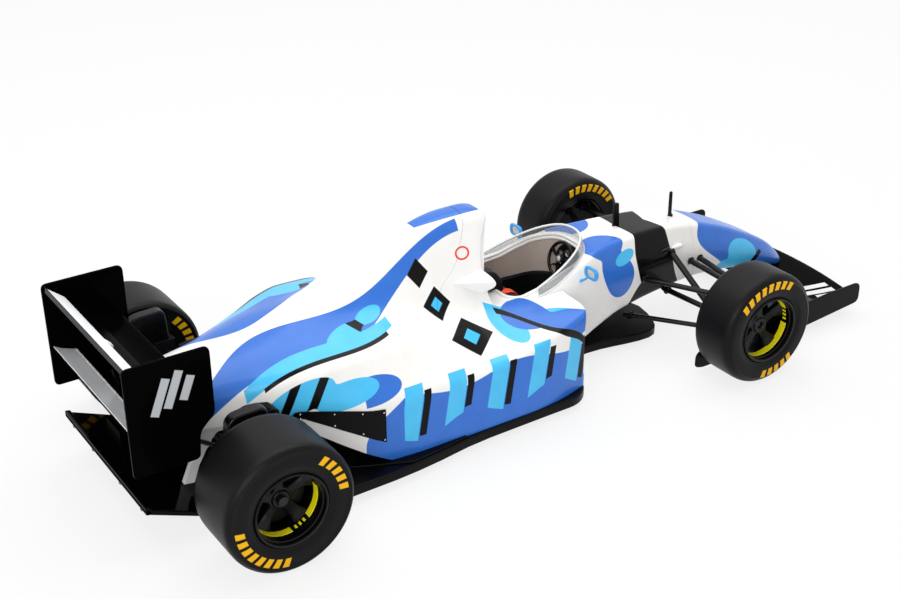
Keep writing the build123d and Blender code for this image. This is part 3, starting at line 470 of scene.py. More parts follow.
# each colour is a little uneven
mottle = paint.noise(220, 4.0)
colour = paint.mix(mottle, srgb("f7f6f3"), srgb("f0eeeb"))
blue = paint.mix(mottle, srgb("2b68c8"), srgb("3678d6"))
sky = paint.mix(mottle, srgb("3ab8f0"), srgb("56c7f5"))
for shape, tint in (
    (below_shoulder, blue), (sky_bar, sky), (ink_bar, INK), (upper, blue), (upper_sky, sky), (pad_deep, blue),
    (pad, sky), (pad_bars, INK), (upper_ink, INK), (tongue, sky), (tongue_ink, INK),
    (gems, INK), (gem_cut, sky), (deck_sky, sky), (deck, blue), (deck_ink, INK),
    (collar, blue), (collar_sky, sky), (sash, INK), (sash_fork, INK), (nose_blue, blue), (nose_sky, sky),
    (nose_ink, INK), (ring, srgb("ee3a24")),
):
    colour = paint.mix(F.ink(shape), colour, tint)
paint.wire(colour, paint.bsdf.inputs["Base Color"])
# the black areas reflect less
black = ink_bar
for shape in (pad_bars, upper_ink, tongue_ink, gems, deck_ink, sash, sash_fork, nose_ink):
    black = F.join(black, shape)
paint.wire(paint.math("MULTIPLY_ADD", F.ink(black), -0.2, 0.28), paint.bsdf.inputs["Specular IOR Level"])
paint.fleck(FLECK_SCALE, 0.24, 0.36)
paint.grain(1400, 0.004)


# ---------------------------------------------------------------- body skins
TAIL, POD_FRONT, COVER_FRONT, DECK_SPLIT, HALF_CHASSIS = -6.0, 113.5, 84.0, 22.0, 17.0
# x share, top z, half crown, foot y, foot z, deck y, deck z, side y, side z, low z
BODY = [
    (0.000, 34.2, 5.0, 9.0, 33.4, 13.2, 31.0, 14.6, 25.0, 22.5),
    (0.092, 35.8, 5.0, 10.0, 34.9, 15.5, 31.6, 18.0, 25.0, 22.3),
    (0.150, 37.1, 5.0, 10.5, 36.2, 18.0, 32.3, 20.5, 25.0, 21.5),
    (0.234, 39.2, 5.0, 11.0, 38.1, 21.5, 33.8, 25.0, 24.6, 17.0),
    (0.310, 41.5, 4.0, 10.5, 39.4, 24.5, 35.9, 29.5, 24.2, 11.5),
    (0.368, 45.3, 3.8, 10.5, 40.0, 25.5, 36.8, 32.5, 24.0, 8.0),
    (0.435, 49.9, 3.9, 11.5, 40.6, 25.0, 36.8, 33.6, 23.7, 5.0),
    (0.535, 53.7, 4.1, 13.0, 38.8, 24.5, 34.6, 34.3, 23.5, 5.0),
    (0.636, 57.1, 4.3, 14.3, 35.0, 24.5, 31.2, 34.3, 23.5, 5.0),
    (0.736, 58.6, 4.4, 15.5, 33.2, 25.0, 28.9, 34.3, 24.3, 5.0),
    (0.862, 58.3, 4.6, 17.0, 31.8, 26.0, 29.5, 34.3, 26.6, 5.0),
    (0.916, 34.0, 5.0, 17.0, 31.0, 26.0, 29.8, 33.6, 27.6, 5.0),
    (1.000, 32.5, 5.0, 17.0, 30.6, 26.0, 30.3, 30.5, 29.6, 5.0),
]
BODY_X = [TAIL + row[0] * (POD_FRONT - TAIL) for row in BODY]


def body_profile(x):
    """Points (y, z) of the left half section, from the top centre to the lower edge."""
    top, crown, foot_y, foot_z, deck_y, deck_z, side_y, side_z, low = smooth_rows(
        BODY_X, [row[1:] for row in BODY], [x])[0]
    return rounded([(0, top), (crown, top), (foot_y, foot_z), (deck_y, deck_z), (side_y, side_z), (side_y, low)],
                   (3.5, 4.5, 2.6, 2.2), 5, 7)


def inset(half, distance):
    """A half section drawn in by a distance along its normals."""
    step = np.gradient(half, axis=0)
    step /= np.linalg.norm(step, axis=1)[:, None]
    inward = np.stack([step[:, 1], -step[:, 0]], axis=1)
    moved = half + inward * distance
    moved[0, 0] = 0.0
    return moved


def ring_of(half):
    """Both halves of a section as one ring of (y, z), left lower edge to right lower edge."""
    return [(-y, z) for y, z in half[:0:-1]] + [tuple(p) for p in half]


STATION_STEP = 1.3


def stations(a, b):
    return list(np.linspace(a, b, max(2, int(round((b - a) / STATION_STEP)) + 1)))


def section_solid(bm, x0, x1, profile, warp=None, lip=(0.0, 0.0)):
    """A closed body through its cross sections, with ends rounded by lip.  warp gives the moved (x, z)."""
    places = [(x, 0.0) for x in stations(x0 + lip[0], x1 - lip[1])]
    for radius, end, sign, at_front in ((lip[0], x0, 1, False), (lip[1], x1, -1, True)):
        if radius:
            extra = [(end + sign * radius * (1 - math.sin(a)), radius * (1 - math.cos(a)))
                     for a in (math.radians(d) for d in (18, 36, 54, 72, 90))]
            places = places + extra if at_front else extra[::-1] + places
    rings = []
    for x, draw_in in places:
        half = profile(x)
        points = ring_of(inset(half, draw_in) if draw_in else half)
        moved = [warp(x, y, z) if warp else (x, z) for y, z in points]
        rings.append([at(mx, y, mz) for (mx, mz), (y, z) in zip(moved, points)])
    solid(bm, rings)


def keep(bm, point, normal):
    """Cuts a closed body at a plane, keeps the side that normal points away from, and closes it."""
    found = bmesh.ops.bisect_plane(bm, geom=bm.verts[:] + bm.edges[:] + bm.faces[:], plane_co=point,
                                   plane_no=normal, clear_outer=True)
    edges = [e for e in found["geom_cut"] if isinstance(e, bmesh.types.BMEdge)]
    if edges:
        bmesh.ops.edgeloop_fill(bm, edges=edges)


def spare_object(bm):
    """A body to cut with, which cut() removes."""
    bmesh.ops.recalc_face_normals(bm, faces=bm.faces)
    mesh = bpy.data.meshes.new("cutter")
    bm.to_mesh(mesh)
    bm.free()
    obj = bpy.data.objects.new("cutter", mesh)
    bpy.context.scene.collection.objects.link(obj)
    return obj


def cutter(rings):
    bm = bmesh.new()
    solid(bm, rings)
    return spare_object(bm)


def cut(piece, *cutters, operation="DIFFERENCE", angle=32):
    """Takes the cutters' shapes out of the piece and removes the cutters."""
    for tool in cutters:
        mod = piece.modifiers.new("cut", "BOOLEAN")
        mod.operation, mod.solver, mod.object = operation, "EXACT", tool
    dg = bpy.context.evaluated_depsgraph_get()
    made = bpy.data.meshes.new_from_object(piece.evaluated_get(dg))
    piece.modifiers.clear()
    old = piece.data
    piece.data = made
    bpy.data.meshes.remove(old)
    for tool in cutters:
        bpy.data.objects.remove(tool)
    bm = bmesh.new()
    bm.from_mesh(made)
    shade(bm, angle)
    bm.to_mesh(made)
    bm.free()


def rounded_box(cy, cz, width, height, radius, n=5):
    """A rounded oblong as a closed ring of (y, z)."""
    points = []
    for k, (sy, sz) in enumerate(((1, 1), (-1, 1), (-1, -1), (1, -1))):
        oy, oz = cy + sy * (width / 2 - radius), cz + sz * (height / 2 - radius)
        for j in range(n + 1):
            a = math.radians(90 * k + 90 * j / n)
            points.append((oy + radius * math.cos(a), oz + radius * math.sin(a)))
    return points


def tunnel(x0, x1, outline):
    """A closed cutting body along the car."""
    return cutter([[at(x, y, z) for y, z in outline] for x in (x0, x1)])


def duct_liner(name, x_back, x_mouth, outline, wall=0.25):
    """The inside of an inlet, a thin open-ended sleeve with a back wall, in black that paints the shade inside the
    inlet.
    """
    cy = sum(p[0] for p in outline) / len(outline)
    cz = sum(p[1] for p in outline) / len(outline)

    def drawn(d):
        return [(cy + (y - cy) * (1 - d / abs(outline[0][0] - cy)), cz + (z - cz) * (1 - d / abs(outline[0][1] - cz)))
                for y, z in outline]
    bm = bmesh.new()
    outer, inner = drawn(0.06), drawn(wall + 0.06)
    rings = [[at(x_back, y, z) for y, z in outer], [at(x_mouth, y, z) for y, z in outer],
             [at(x_mouth, y, z) for y, z in inner], [at(x_back + wall, y, z) for y, z in inner]]
    solid(bm, rings)
    link(name, bm, painted_shade)


HOOP = [(88.5, 31.0), (87.3, 37.0), (87.3, 43.0), (88.2, 47.5), (90.2, 51.9), (91.5, 54.1), (93.3, 56.6), (92.4, 60.0)]
HOOP_LIP, HOOP_FOOT = 93.3, 31.0
# side view of the joint between the engine cover and the roll hoop cover
JOINT = [(85.2, 62.0), (85.1, 58.0), (84.2, 55.2), (82.8, 52.4), (81.2, 49.4), (79.4, 46.6), (77.0, 44.1), (74.7, 42.6),
         (72.8, 40.9), (71.2, 39.0), (70.2, 37.3), (69.4, 35.4), (69.2, 30.0), (110.0, 30.0), (110.0, 62.0)]


def hoop_front(z):
    return float(smooth_rows([p[1] for p in HOOP], [[p[0]] for p in HOOP], [min(max(z, 31.0), 60.0)])[0, 0])


def hoop_warp(x, y, z):
    """The hoop's front follows its side view, and its top falls away to the lip of the intake."""
    if x <= COVER_FRONT:
        return x, z
    fall = 1.1 * max(0.0, (x - 88.0) / (HOOP_LIP - 88.0))**2.0 * min(1.0, max(0.0, (z - 44.0) / 12.0))
    return COVER_FRONT + (x - COVER_FRONT) / (HOOP_LIP - COVER_FRONT) * (hoop_front(z) - COVER_FRONT), z - fall


def block(x0, x1, y0, y1, z0, z1):
    return cutter([[at(x, y0, z0), at(x, y1, z0), at(x, y1, z1), at(x, y0, z1)] for x in (x0, x1)])


def side_prism(outline, shift=0.0):
    return spare_object(slab([(x + shift, z) for x, z in outline], -30.0, 30.0))


def spine_body(name, node):
    """The rear body from the tail to the air intake, without the sidepods."""
    bm = bmesh.new()
    section_solid(bm, TAIL, HOOP_LIP, body_profile, warp=hoop_warp, lip=(0.9, 1.0))
    piece = link(name, bm, paint, replaces=[node])
    cut(piece, block(DECK_SPLIT, 120, HALF_CHASSIS, 60, -10, 70), block(DECK_SPLIT, 120, -60, -HALF_CHASSIS, -10, 70),
        block(COVER_FRONT + 0.05, 120, -60, 60, -10, HOOP_FOOT))
    return piece


RECESS = rounded_box(0, 27.6, 22.0, 7.6, 2.6)
AIRBOX = rounded_box(0, 52.0, 7.4, 7.6, 2.9, 8)
cover = spine_body("engine_cover_skin", "engine_cover")
# the tail is open at the back, round the gearbox
cut(cover, tunnel(TAIL - 2, TAIL + 3.0, RECESS), side_prism(JOINT))
duct_liner("tail_recess", TAIL + 2.8, TAIL + 0.5, RECESS)
hoop = spine_body("roll_hoop_skin", "roll_hoop_cover")
cut(hoop, side_prism(JOINT, 0.17), operation="INTERSECT")
cut(hoop, tunnel(HOOP_LIP - 8.6, HOOP_LIP + 5, AIRBOX))
# the intake's inside: a black sleeve that paints the shade in the intake
bm = bmesh.new()
rings = []
for wall in (0.05, 0.3):
    shape = rounded_box(0, 52.0, 7.4 - 2 * wall, 7.6 - 2 * wall, 2.9 - wall, 8)
    mouth = [at(hoop_front(z) - 0.9, y, z) for y, z in shape]
    deep = [at(85.4 + wall, y, z) for y, z in shape]
    rings += [deep, mouth] if wall < 0.1 else [mouth, deep]
solid(bm, rings)
link("airbox_liner", bm, painted_shade)


DUCT_Y, FINS, TUBES = 24.75, 30, 7
POD_CORNER = 9.6


def pod_warp(x, y, z):
    """The sidepod's front corner is round in plan."""
    over = max(0.0, abs(y) - 24.7)
    front_x = POD_FRONT - POD_CORNER + math.sqrt(max(0.0, POD_CORNER**2 - over * over))
    return DECK_SPLIT + (x - DECK_SPLIT) * (front_x - DECK_SPLIT) / (POD_FRONT - DECK_SPLIT), z


for side, name in SIDES:
    bm = bmesh.new()
    section_solid(bm, DECK_SPLIT, POD_FRONT, body_profile, warp=pod_warp, lip=(0.0, 0.8))
    keep(bm, at(0, side * HALF_CHASSIS, 0), (0, -side, 0))
    pod = link(f"sidepod_{name}_skin", bm, paint, replaces=[f"sidepod_{name}"])
    mouth = rounded_box(side * DUCT_Y, 17.0, 11.5, 19.0, 2.2)
    cut(pod, tunnel(96.5, 125, mouth))
    duct_liner(f"radiator_duct_{name}", 96.7, 110.6, mouth)
    # the radiator: a frame, and fins with cooling tubes across
    bm = bmesh.new()
    y0, y1, z0, z1 = side * DUCT_Y - 5.3, side * DUCT_Y + 5.3, 7.9, 26.1
    for k in range(FINS):
        z = z0 + 0.5 + (z1 - z0 - 1.0) * k / (FINS - 1)
        solid(bm, [[at(97.6, y, z - 0.09), at(97.6, y, z + 0.09), at(98.5, y, z + 0.09), at(98.5, y, z - 0.09)]
                   for y in (y0, y1)])
    for k in range(TUBES):
        y = y0 + (y1 - y0) * (k + 0.5) / TUBES
        tube(bm, [at(98.0, y, z0), at(98.0, y, z1)], 0.28, 8)
    for ya, yb, za, zb in ((y0, y1, z0, z0 + 0.6), (y0, y1, z1 - 0.6, z1), (y0, y0 + 0.6, z0, z1),
                           (y1 - 0.6, y1, z0, z1)):
        solid(bm, [[at(x, ya, za), at(x, yb, za), at(x, yb, zb), at(x, ya, zb)] for x in (97.3, 98.9)])
    link(f"radiator_{name}", bm, core_grey, weld=1e-9, replaces=["radiator_cores"])

# x share, low y, low z, waist y, waist z, high y, high z
TUB = [
    (0.000, 16.5, 5.0, 17.0, 29.5, 15.0, 31.0),
    (0.120, 16.5, 5.0, 17.0, 29.5, 15.0, 31.0),
    (0.290, 16.5, 5.0, 17.0, 30.2, 15.6, 32.2),
    (0.360, 15.5, 6.0, 16.9, 30.0, 14.8, 33.9),
    (0.450, 14.5, 9.0, 16.2, 28.6, 13.2, 35.7),
    (0.530, 13.2, 11.0, 15.0, 27.5, 11.6, 37.3),
    (0.650, 11.5, 13.3, 13.6, 27.5, 9.8, 37.6),
    (0.840, 10.4, 15.0, 12.2, 27.5, 8.5, 36.8),
    (1.000, 9.8, 15.6, 11.0, 26.0, 7.5, 34.6),
]
NOSE = [
    (0.00, 9.8, 15.6, 11.0, 26.0, 7.5, 34.6),
    (0.29, 9.2, 14.2, 10.8, 22.2, 7.0, 29.9),
    (0.57, 8.6, 11.4, 10.0, 17.6, 6.2, 23.5),
    (0.79, 7.4, 8.6, 8.8, 12.6, 5.2, 17.4),
    (0.91, 5.8, 6.8, 6.9, 9.6, 4.0, 12.8),
    (1.00, 3.0, 5.4, 4.0, 7.0, 2.4, 8.6),
]
NOSE_JOINT, NOSE_TIP = 172.5, 221.2
HULL_X = [COVER_FRONT + r[0] * (NOSE_JOINT - COVER_FRONT) for r in TUB]
HULL_X += [NOSE_JOINT + r[0] * (NOSE_TIP - NOSE_JOINT) for r in NOSE[1:]]
HULL = [r[1:] for r in TUB] + [r[1:] for r in NOSE[1:]]


def hull_profile(x):
    low_y, low_z, waist_y, waist_z, high_y, high_z = smooth_rows(HULL_X, HULL, [x])[0]
    return rounded([(0, high_z), (high_y, high_z), (waist_y, waist_z), (low_y, low_z), (0, low_z)],
                   (1.6, 3.4, 2.2), 6, 7)


def hull_top(x, y):
    """Height of the chassis over a point in plan."""
    half = hull_profile(x)
    upper = half[:int(np.argmax(half[:, 0])) + 1]
    return float(np.interp(abs(y), upper[:, 0], upper[:, 1]))


bm = bmesh.new()
section_solid(bm, COVER_FRONT, NOSE_JOINT - 0.07, hull_profile)
tub = link("chassis_skin", bm, paint, replaces=["chassis_tub"])
bm = bmesh.new()
section_solid(bm, NOSE_JOINT + 0.07, NOSE_TIP, hull_profile, lip=(0.0, 1.3))
link("nose_skin", bm, paint, replaces=["nose_cone"])

# tail legs: bevelled plates with an oval hole for the drive shaft
LEG = [(-5.7, 26.0), (-6.4, 18.0), (-8.2, 14.0), (-11.6, 6.4), (-8.4, 6.4), (-6.6, 11.3), (-4.0, 15.6), (2.4, 20.9),
       (5.0, 26.0)]
for side, name in SIDES:
    leg = link(f"tail_leg_{name}", slab(LEG, side * 12.4, side * 14.05), white, 20,
               replaces=["engine_cover"])
    oval = [(-0.5 + 2.0 * math.cos(a), 17.6 + 1.15 * math.sin(a)) for a in np.linspace(0, 2 * math.pi, 28, False)]
    cut(leg, spare_object(slab(oval, side * 10, side * 16)))
    bevelled(leg, 0.45, 3, 30)


# ---------------------------------------------------------------- cockpit
OPEN_REAR, OPEN_FRONT, OPEN_HALF, LEDGE, TUB_FLOOR, STEP_IN = 96.0, 129.5, 12.5, 23.0, 8.0, 1.2


def plan_ring(draw_in, n=12):
    """The cockpit opening in plan, drawn in by a distance, as a closed ring of (x, y)."""
    rear, ahead_of, half = OPEN_REAR + draw_in, OPEN_FRONT - draw_in, OPEN_HALF - draw_in
    r_rear, r_front = 4.5 - draw_in, 10.6 - draw_in
    points = []
    for cx, cy, r, start in ((ahead_of - r_front, half - r_front, r_front, 0),
                             (rear + r_rear, half - r_rear, r_rear, 90),
                             (rear + r_rear, r_rear - half, r_rear, 180),
                             (ahead_of - r_front, r_front - half, r_front, 270)):
        for k in range(n + 1):
            a = math.radians(start + 90 * k / n)
            points.append((cx + r * math.cos(a), cy + r * math.sin(a)))
    # the opening widens towards the driver's shoulders
    points = [(x, y * (1 + 0.14 * min(1.0, max(0.0, (113.0 - x) / 9.0))**1.5)) for x, y in points]
    long_way = []
    for p, q in zip(points, points[1:] + points[:1]):
        steps = max(1, int(math.hypot(q[0] - p[0], q[1] - p[1]) / 1.2))
        long_way += [(p[0] + (q[0] - p[0]) * k / steps, p[1] + (q[1] - p[1]) * k / steps) for k in range(steps)]
    return long_way


def well(ring, z_low, z_high):
    return cutter([[at(x, y, z) for x, y in ring] for z in (z_low, z_high)])


cut(tub, well(plan_ring(0.0), LEDGE, 60.0))
cut(tub, well(plan_ring(STEP_IN), TUB_FLOOR, LEDGE + 0.5))
FOOTWELL = rounded_box(0, 21.25, 16.0, 11.5, 2.0)
cut(tub, tunnel(118.0, 140.9, FOOTWELL))


def loop_tube(bm, path, radius, sides=10, squash=1.0):
    """A round bead along a closed path of Vectors."""
    rings = []
    n = len(path)
    for i, p in enumerate(path):
        d = (path[(i + 1) % n] - path[i - 1]).normalized()
        side = d.cross(Vector((0, 0, 1))).normalized()
        lift = side.cross(d)
        rings.append([p + (side * math.cos(a) + lift * math.sin(a) * squash) * radius * MM
                      for a in (2 * math.pi * k / sides for k in range(sides))])
    rings.append(rings[0])
    add_grid(bm, rings, closed=True)


bm = bmesh.new()
loop_tube(bm, [at(x, y, hull_top(x, y) + 0.02) for x, y in plan_ring(0.05)], 0.72, 12, 0.85)
loop_tube(bm, [at(x, y, hull_top(x, y) - 0.95) for x, y in plan_ring(0.62)], 0.42, 10, 1.3)
link("cockpit_rim", bm, white, 60)


def drawn_ring(draw_in):
    """plan_ring(0) drawn in by scaling, so that the count of points stays."""
    mid = (OPEN_REAR + OPEN_FRONT) / 2
    half_x = (OPEN_FRONT - OPEN_REAR) / 2
    return [(mid + (x - mid) * (1 - draw_in / half_x), y * (1 - draw_in / OPEN_HALF)) for x, y in plan_ring(0.0)]


bm = bmesh.new()
rings = []
for draw_in, shares in ((0.03, (0, 0.25, 0.5, 0.75, 1)), (0.36, (1, 0.75, 0.5, 0.25, 0))):
    outline = drawn_ring(draw_in)
    for share in shares:
        rings.append([at(xi, yi, LEDGE + 0.2 + (hull_top(x, y) - 0.1 - LEDGE - 0.2) * share)
                      for (xi, yi), (x, y) in zip(outline, plan_ring(0.0))])
rings.append(rings[0])
add_grid(bm, rings, closed=True)
link("cockpit_lining", bm, lining)

# the lower tub: a ledge with a rounded rail, a wall and a floor
bm = bmesh.new()
rows = [(0.05, LEDGE + 0.12), (0.05, LEDGE + 0.3), (1.1, LEDGE + 0.3), (1.35, LEDGE + 0.15), (1.4, LEDGE - 0.2),
        (1.4, TUB_FLOOR + 1.6), (1.7, TUB_FLOOR + 0.7), (2.6, TUB_FLOOR + 0.3)]
add_grid(bm, [[at(x, y, z) for x, y in drawn_ring(d)] for d, z in rows], closed=True, cap_end=True)
thickened(link("cockpit_tub_liner", bm, seat_black), 0.12, 1.0)
bm = bmesh.new()
loop_tube(bm, [at(x, y, LEDGE + 0.42) for x, y in drawn_ring(0.75)], 0.3, 8)
link("cockpit_rail", bm, trim_black, 60)
duct_liner("footwell_liner", 140.6, 127.4, FOOTWELL)

# seat: a bucket shell with raised sides
SEAT = [(97.6, 28.6), (101.0, 28.7), (103.2, 28.1), (104.8, 26.4), (106.2, 22.6), (107.0, 17.6), (109.2, 13.4),
        (112.0, 11.2), (115.5, 10.7), (119.0, 11.6), (120.6, 12.4)]


def seat_at(share, y, lift=0.0):
    """A point of the seat's upper face: share runs from the head to the knees."""
    p = smooth_rows(np.linspace(0, 1, len(SEAT)), SEAT, [share])[0]
    q = smooth_rows(np.linspace(0, 1, len(SEAT)), SEAT, [min(share + 0.01, 1.0)])[0]
    r = smooth_rows(np.linspace(0, 1, len(SEAT)), SEAT, [max(share - 0.01, 0.0)])[0]
    d = (q - r) / np.linalg.norm(q - r)
    bolster = 2.0 * max(0.0, (abs(y) - 6.0) / 4.6)**2 * min(1.0, max(0.0, (share - 0.22) * 4)) + lift
    return at(p[0] - d[1] * bolster, y, p[1] + d[0] * bolster)


bm = bmesh.new()
add_grid(bm, [[seat_at(s, y) for y in np.linspace(-10.4, 10.4, 33)] for s in np.linspace(0, 1, 40)])
bevelled(thickened(link("seat_shell", bm, seat_black, replaces=["seat"]), 0.7, -1.0), 0.2, 2, 60)
BELT_THICK = 0.36


def strap(name, path, width):
    """A flat strap along points (share, y) over the seat."""
    bm = bmesh.new()
    rings = []
    for s, y in path:
        half = width / 2
        low = [seat_at(s, y + dy, 0.10) for dy in (-half, 0, half)]
        high = [seat_at(s, y + dy, 0.10 + BELT_THICK) for dy in (half, 0, -half)]
        rings.append(low + high)
    solid(bm, rings)
    bevelled(link(name, bm, orange, replaces=["harness"]), 0.1, 1, 50)


for side, name in SIDES:
    strap(f"belt_shoulder_{name}", [(s, side * (4.5 - 2.9 * max(0.0, (s - 0.25) / 0.5)**1.3))
                                    for s in np.linspace(0.03, 0.72, 34)], 2.9)
    strap(f"belt_lap_{name}", [(0.60 + 0.10 * t, side * (9.6 - 8.2 * t)) for t in np.linspace(0, 1, 14)], 2.2)
    # sliding adjuster: a small frame on the shoulder strap
    bm = bmesh.new()
    for s0, s1, y0, y1 in ((0.445, 0.455, -1.8, 1.8), (0.485, 0.495, -1.8, 1.8), (0.445, 0.495, -1.8, -1.4),
                           (0.445, 0.495, 1.4, 1.8)):
        mid = side * (4.5 - 2.9 * (0.22 / 0.5)**1.3)
        solid(bm, [[seat_at(s0, mid + y0, h), seat_at(s0, mid + y1, h), seat_at(s1, mid + y1, h),
                    seat_at(s1, mid + y0, h)] for h in (0.3, 0.9)])
    link(f"belt_adjuster_{name}", bm, steel)
bm = bmesh.new()
centre, top = seat_at(0.72, 0.0, 0.4), seat_at(0.72, 0.0, 1.5)
tube(bm, [centre, centre.lerp(top, 0.7), top], [1.75, 1.75, 1.35], 24)
tube(bm, [top, top + (top - centre) * 0.25], [0.6, 0.45], 16)
link("belt_buckle", bm, red)

HEADREST = [(88.4, 31.2), (88.4, 38.2), (93.6, 38.2), (96.4, 37.0), (98.8, 33.6), (99.4, 30.4), (96.6, 29.2),
            (96.3, 31.2)]
plate("headrest_pad", HEADREST, -6.2, 6.2, seat_black, 20, (1.0, 5, 20), ["headrest"])
bm = bmesh.new()
for y in (-2.8, 2.8):
    tube(bm, [at(89.0, y, 38.2), at(93.4, y, 38.22), at(96.3, y, 37.0), at(98.7, y, 33.6)], 0.14, 6)
link("headrest_seams", bm, trim_black, 60)

# steering wheel
GRIP_RADIUS, GRIP_THICK = 5.5, 0.52
GRIP = Vector((-1, 0, 0.35)).normalized()
wheel_up = GRIP.cross(Vector((0, 1, 0))).normalized()
wheel_up = wheel_up if wheel_up.z > 0 else -wheel_up
hub = at(125.3, 0, 31.3)


def on_wheel(y, z, off=0.0):
    return hub + Vector((0, 1, 0)) * y * MM + wheel_up * z * MM + GRIP * off * MM


bm = bmesh.new()
rings = []
for k in range(48):
    a = 2 * math.pi * k / 48
    c, s = math.cos(a), math.sin(a)
    rings.append([on_wheel((GRIP_RADIUS + GRIP_THICK * math.cos(b)) * c, (GRIP_RADIUS + GRIP_THICK * math.cos(b)) * s,
                           GRIP_THICK * math.sin(b))
                  for b in (2 * math.pi * j / 12 for j in range(12))])
rings.append(rings[0])
add_grid(bm, rings, closed=True)
for degrees in (20, 160, 270):
    a = math.radians(degrees)
    d = (math.cos(a), math.sin(a))
    n = (-d[1], d[0])
    rows = []
    for r, half, off in ((1.0, 0.9, 0.0), (2.4, 0.55, 0.1), (3.8, 0.45, 0.1), (5.2, 0.7, 0.0)):
        rows.append([on_wheel(d[0] * r + n[0] * w, d[1] * r + n[1] * w, off + h)
                     for w, h in ((-half, -0.22), (half, -0.22), (half, 0.22), (-half, 0.22))])
    solid(bm, rows)
tube(bm, [on_wheel(0, 0, -0.6), on_wheel(0, 0, 0.5), on_wheel(0, 0, 0.7)], [1.9, 1.9, 1.6], 24)
tube(bm, [on_wheel(0, 0, -6.5), on_wheel(0, 0, -0.5)], 0.8, 16)
link("steering_wheel_grip", bm, trim_black, replaces=["steering_wheel"])
bm = bmesh.new()
tube(bm, [on_wheel(0, 0, 0.65), on_wheel(0, 0, 1.1), on_wheel(0, 0, 1.25)], [1.15, 1.15, 0.8], 20)
for degrees in (90, 210, 330):
    a = math.radians(degrees)
    tube(bm, [on_wheel(1.45 * math.cos(a), 1.45 * math.sin(a), off) for off in (0.6, 0.9)], 0.22, 8)
link("steering_hub", bm, steel)

# dashboard: a hood across the cockpit ahead of the steering wheel, with three dials
DASH_NARROW = 0.72
bm = bmesh.new()
rings = []
for x, drop in ((128.2, 2.2), (128.4, 1.7), (129.3, 1.3)):
    top = hull_top(129.0, 0) - drop
    ring = [(-8.6, LEDGE + 0.6), (8.6, LEDGE + 0.6), (8.4, 29.5)]
    ring += [(8.4 * math.cos(a), 29.5 + (top - 29.5) * math.sin(a)) for a in np.linspace(0.12, math.pi - 0.12, 17)]
    ring += [(-8.4, 29.5)]
    rings.append([at(x, y * DASH_NARROW, z) for y, z in ring])
solid(bm, rings)
link("dashboard", bm, satin_black)
bm = bmesh.new()
for y, z, r in ((0, 32.6, 1.3), (-3.2, 31.6, 0.9), (3.2, 31.6, 0.9)):
    solid(bm, [[at(x, y + rr * math.cos(a), z + rr * math.sin(a)) for a in np.linspace(0, 2 * math.pi, 24, False)]
               for x, rr in ((128.25, r), (127.9, r), (127.9, r * 0.82), (128.1, r * 0.8))])
link("dash_dials", bm, steel)

# windscreen: a clear strip between two curves, with a pale edge that paints the highlight along its top and ends
SCREEN_ENDS = 1.455


def oval_point(theta, reach, half, power):
    c, s = math.cos(theta), math.sin(theta)
    return (100 + reach * math.copysign(abs(c)**(2 / power), c), half * math.copysign(abs(s)**(2 / power), s))


def screen_pair(theta):
    """A point of the screen's foot and one of its upper edge."""
    fx, fy = oval_point(theta, 31.0, 16.4, 2.27)
    tx, ty = oval_point(theta * 0.985, 29.8, 14.7, 2.28)
    foot_z = 30.57 + 0.228 * (fx - 100)
    return (fx, fy, min(foot_z, hull_top(fx, fy) + 0.1) - 0.25), (tx, ty, 30.94 + 0.34 * (tx - 100))


thetas = [SCREEN_ENDS * math.sin(math.pi / 2 * t) for t in np.linspace(-1, 1, 91)]
bm = bmesh.new()
rings = []
for theta in thetas:
    foot, head = screen_pair(theta)
    row = []
    for t in np.linspace(0, 1, 6):
        bulge = 0.35 * math.sin(math.pi * t)
        out = Vector((foot[0] - 108, foot[1] * 2.2, 0)).normalized() * bulge * MM
        row.append(at(*foot).lerp(at(*head), t) + out)
    rings.append(row)
add_grid(bm, rings)
thickened(link("windscreen_clear", bm, screen, replaces=["windscreen"]), 0.35, 0.0)
bm = bmesh.new()
ends = [screen_pair(t) for t in (thetas[0], thetas[-1])]
path = [at(*ends[0][0]).lerp(at(*ends[0][1]), t) for t in np.linspace(0, 0.86, 5)]
path += [at(*screen_pair(theta)[1]) for theta in thetas[1:-1]]
path += [at(*ends[1][0]).lerp(at(*ends[1][1]), t) for t in np.linspace(0.86, 0, 5)]
tube(bm, path, 0.36, 8)
link("windscreen_edge_highlight", bm, screen_edge_highlight, 60)
bm = bmesh.new()
tube(bm, [at(*screen_pair(theta)[0]) + Vector((0, 0, 0.3 * MM)) for theta in thetas], 0.26, 8)
link("windscreen_foot", bm, white, 60)


# ---------------------------------------------------------------- small parts on the body
MIRROR_X, MIRROR_Y, MIRROR_Z, MIRROR_SIZE = 121.6, 19.3, 35.0, (6.0, 3.9, 1.5)
# corners of the air scoop: its tip, and the upper, outer and lower corners of its mouth
SCOOP_TIP, SCOOP_TOP, SCOOP_BROW, SCOOP_LOW = (np.array(p) for p in (
    (76.2, 11.4, 41.2), (86.6, 11.6, 43.1), (88.3, 19.4, 42.0), (84.6, 14.6, 37.0)))
BROW_WEIGHT = 1.5
LOUVRE_SCREWS = ((19.2, 23.5), (19.2, 22.1), (27.4, 22.7), (27.4, 19.1), (34.2, 22.1), (34.2, 15.8), (39.8, 21.5),
                 (39.8, 12.9))
FIN = [(1.1, 21.4), (1.5, 23.3), (2.7, 25.4), (4.5, 26.7), (6.4, 27.4), (9.2, 27.7), (12.1, 27.6), (13.3, 26.7),
       (13.5, 24.5), (12.8, 24.3), (12.3, 25.6), (11.3, 26.4), (8.8, 26.5), (6.4, 26.2), (4.7, 25.3), (3.4, 24.0),
       (2.6, 22.6), (2.3, 21.4)]


def mirror_ring(x, side, scale):
    """The mirror's outline, x ahead of its glass and drawn in to a scale."""
    outline = rounded_box(side * MIRROR_Y, MIRROR_Z, *(s * scale for s in MIRROR_SIZE), 6)
    return [at(MIRROR_X + x, y, z) for y, z in outline]


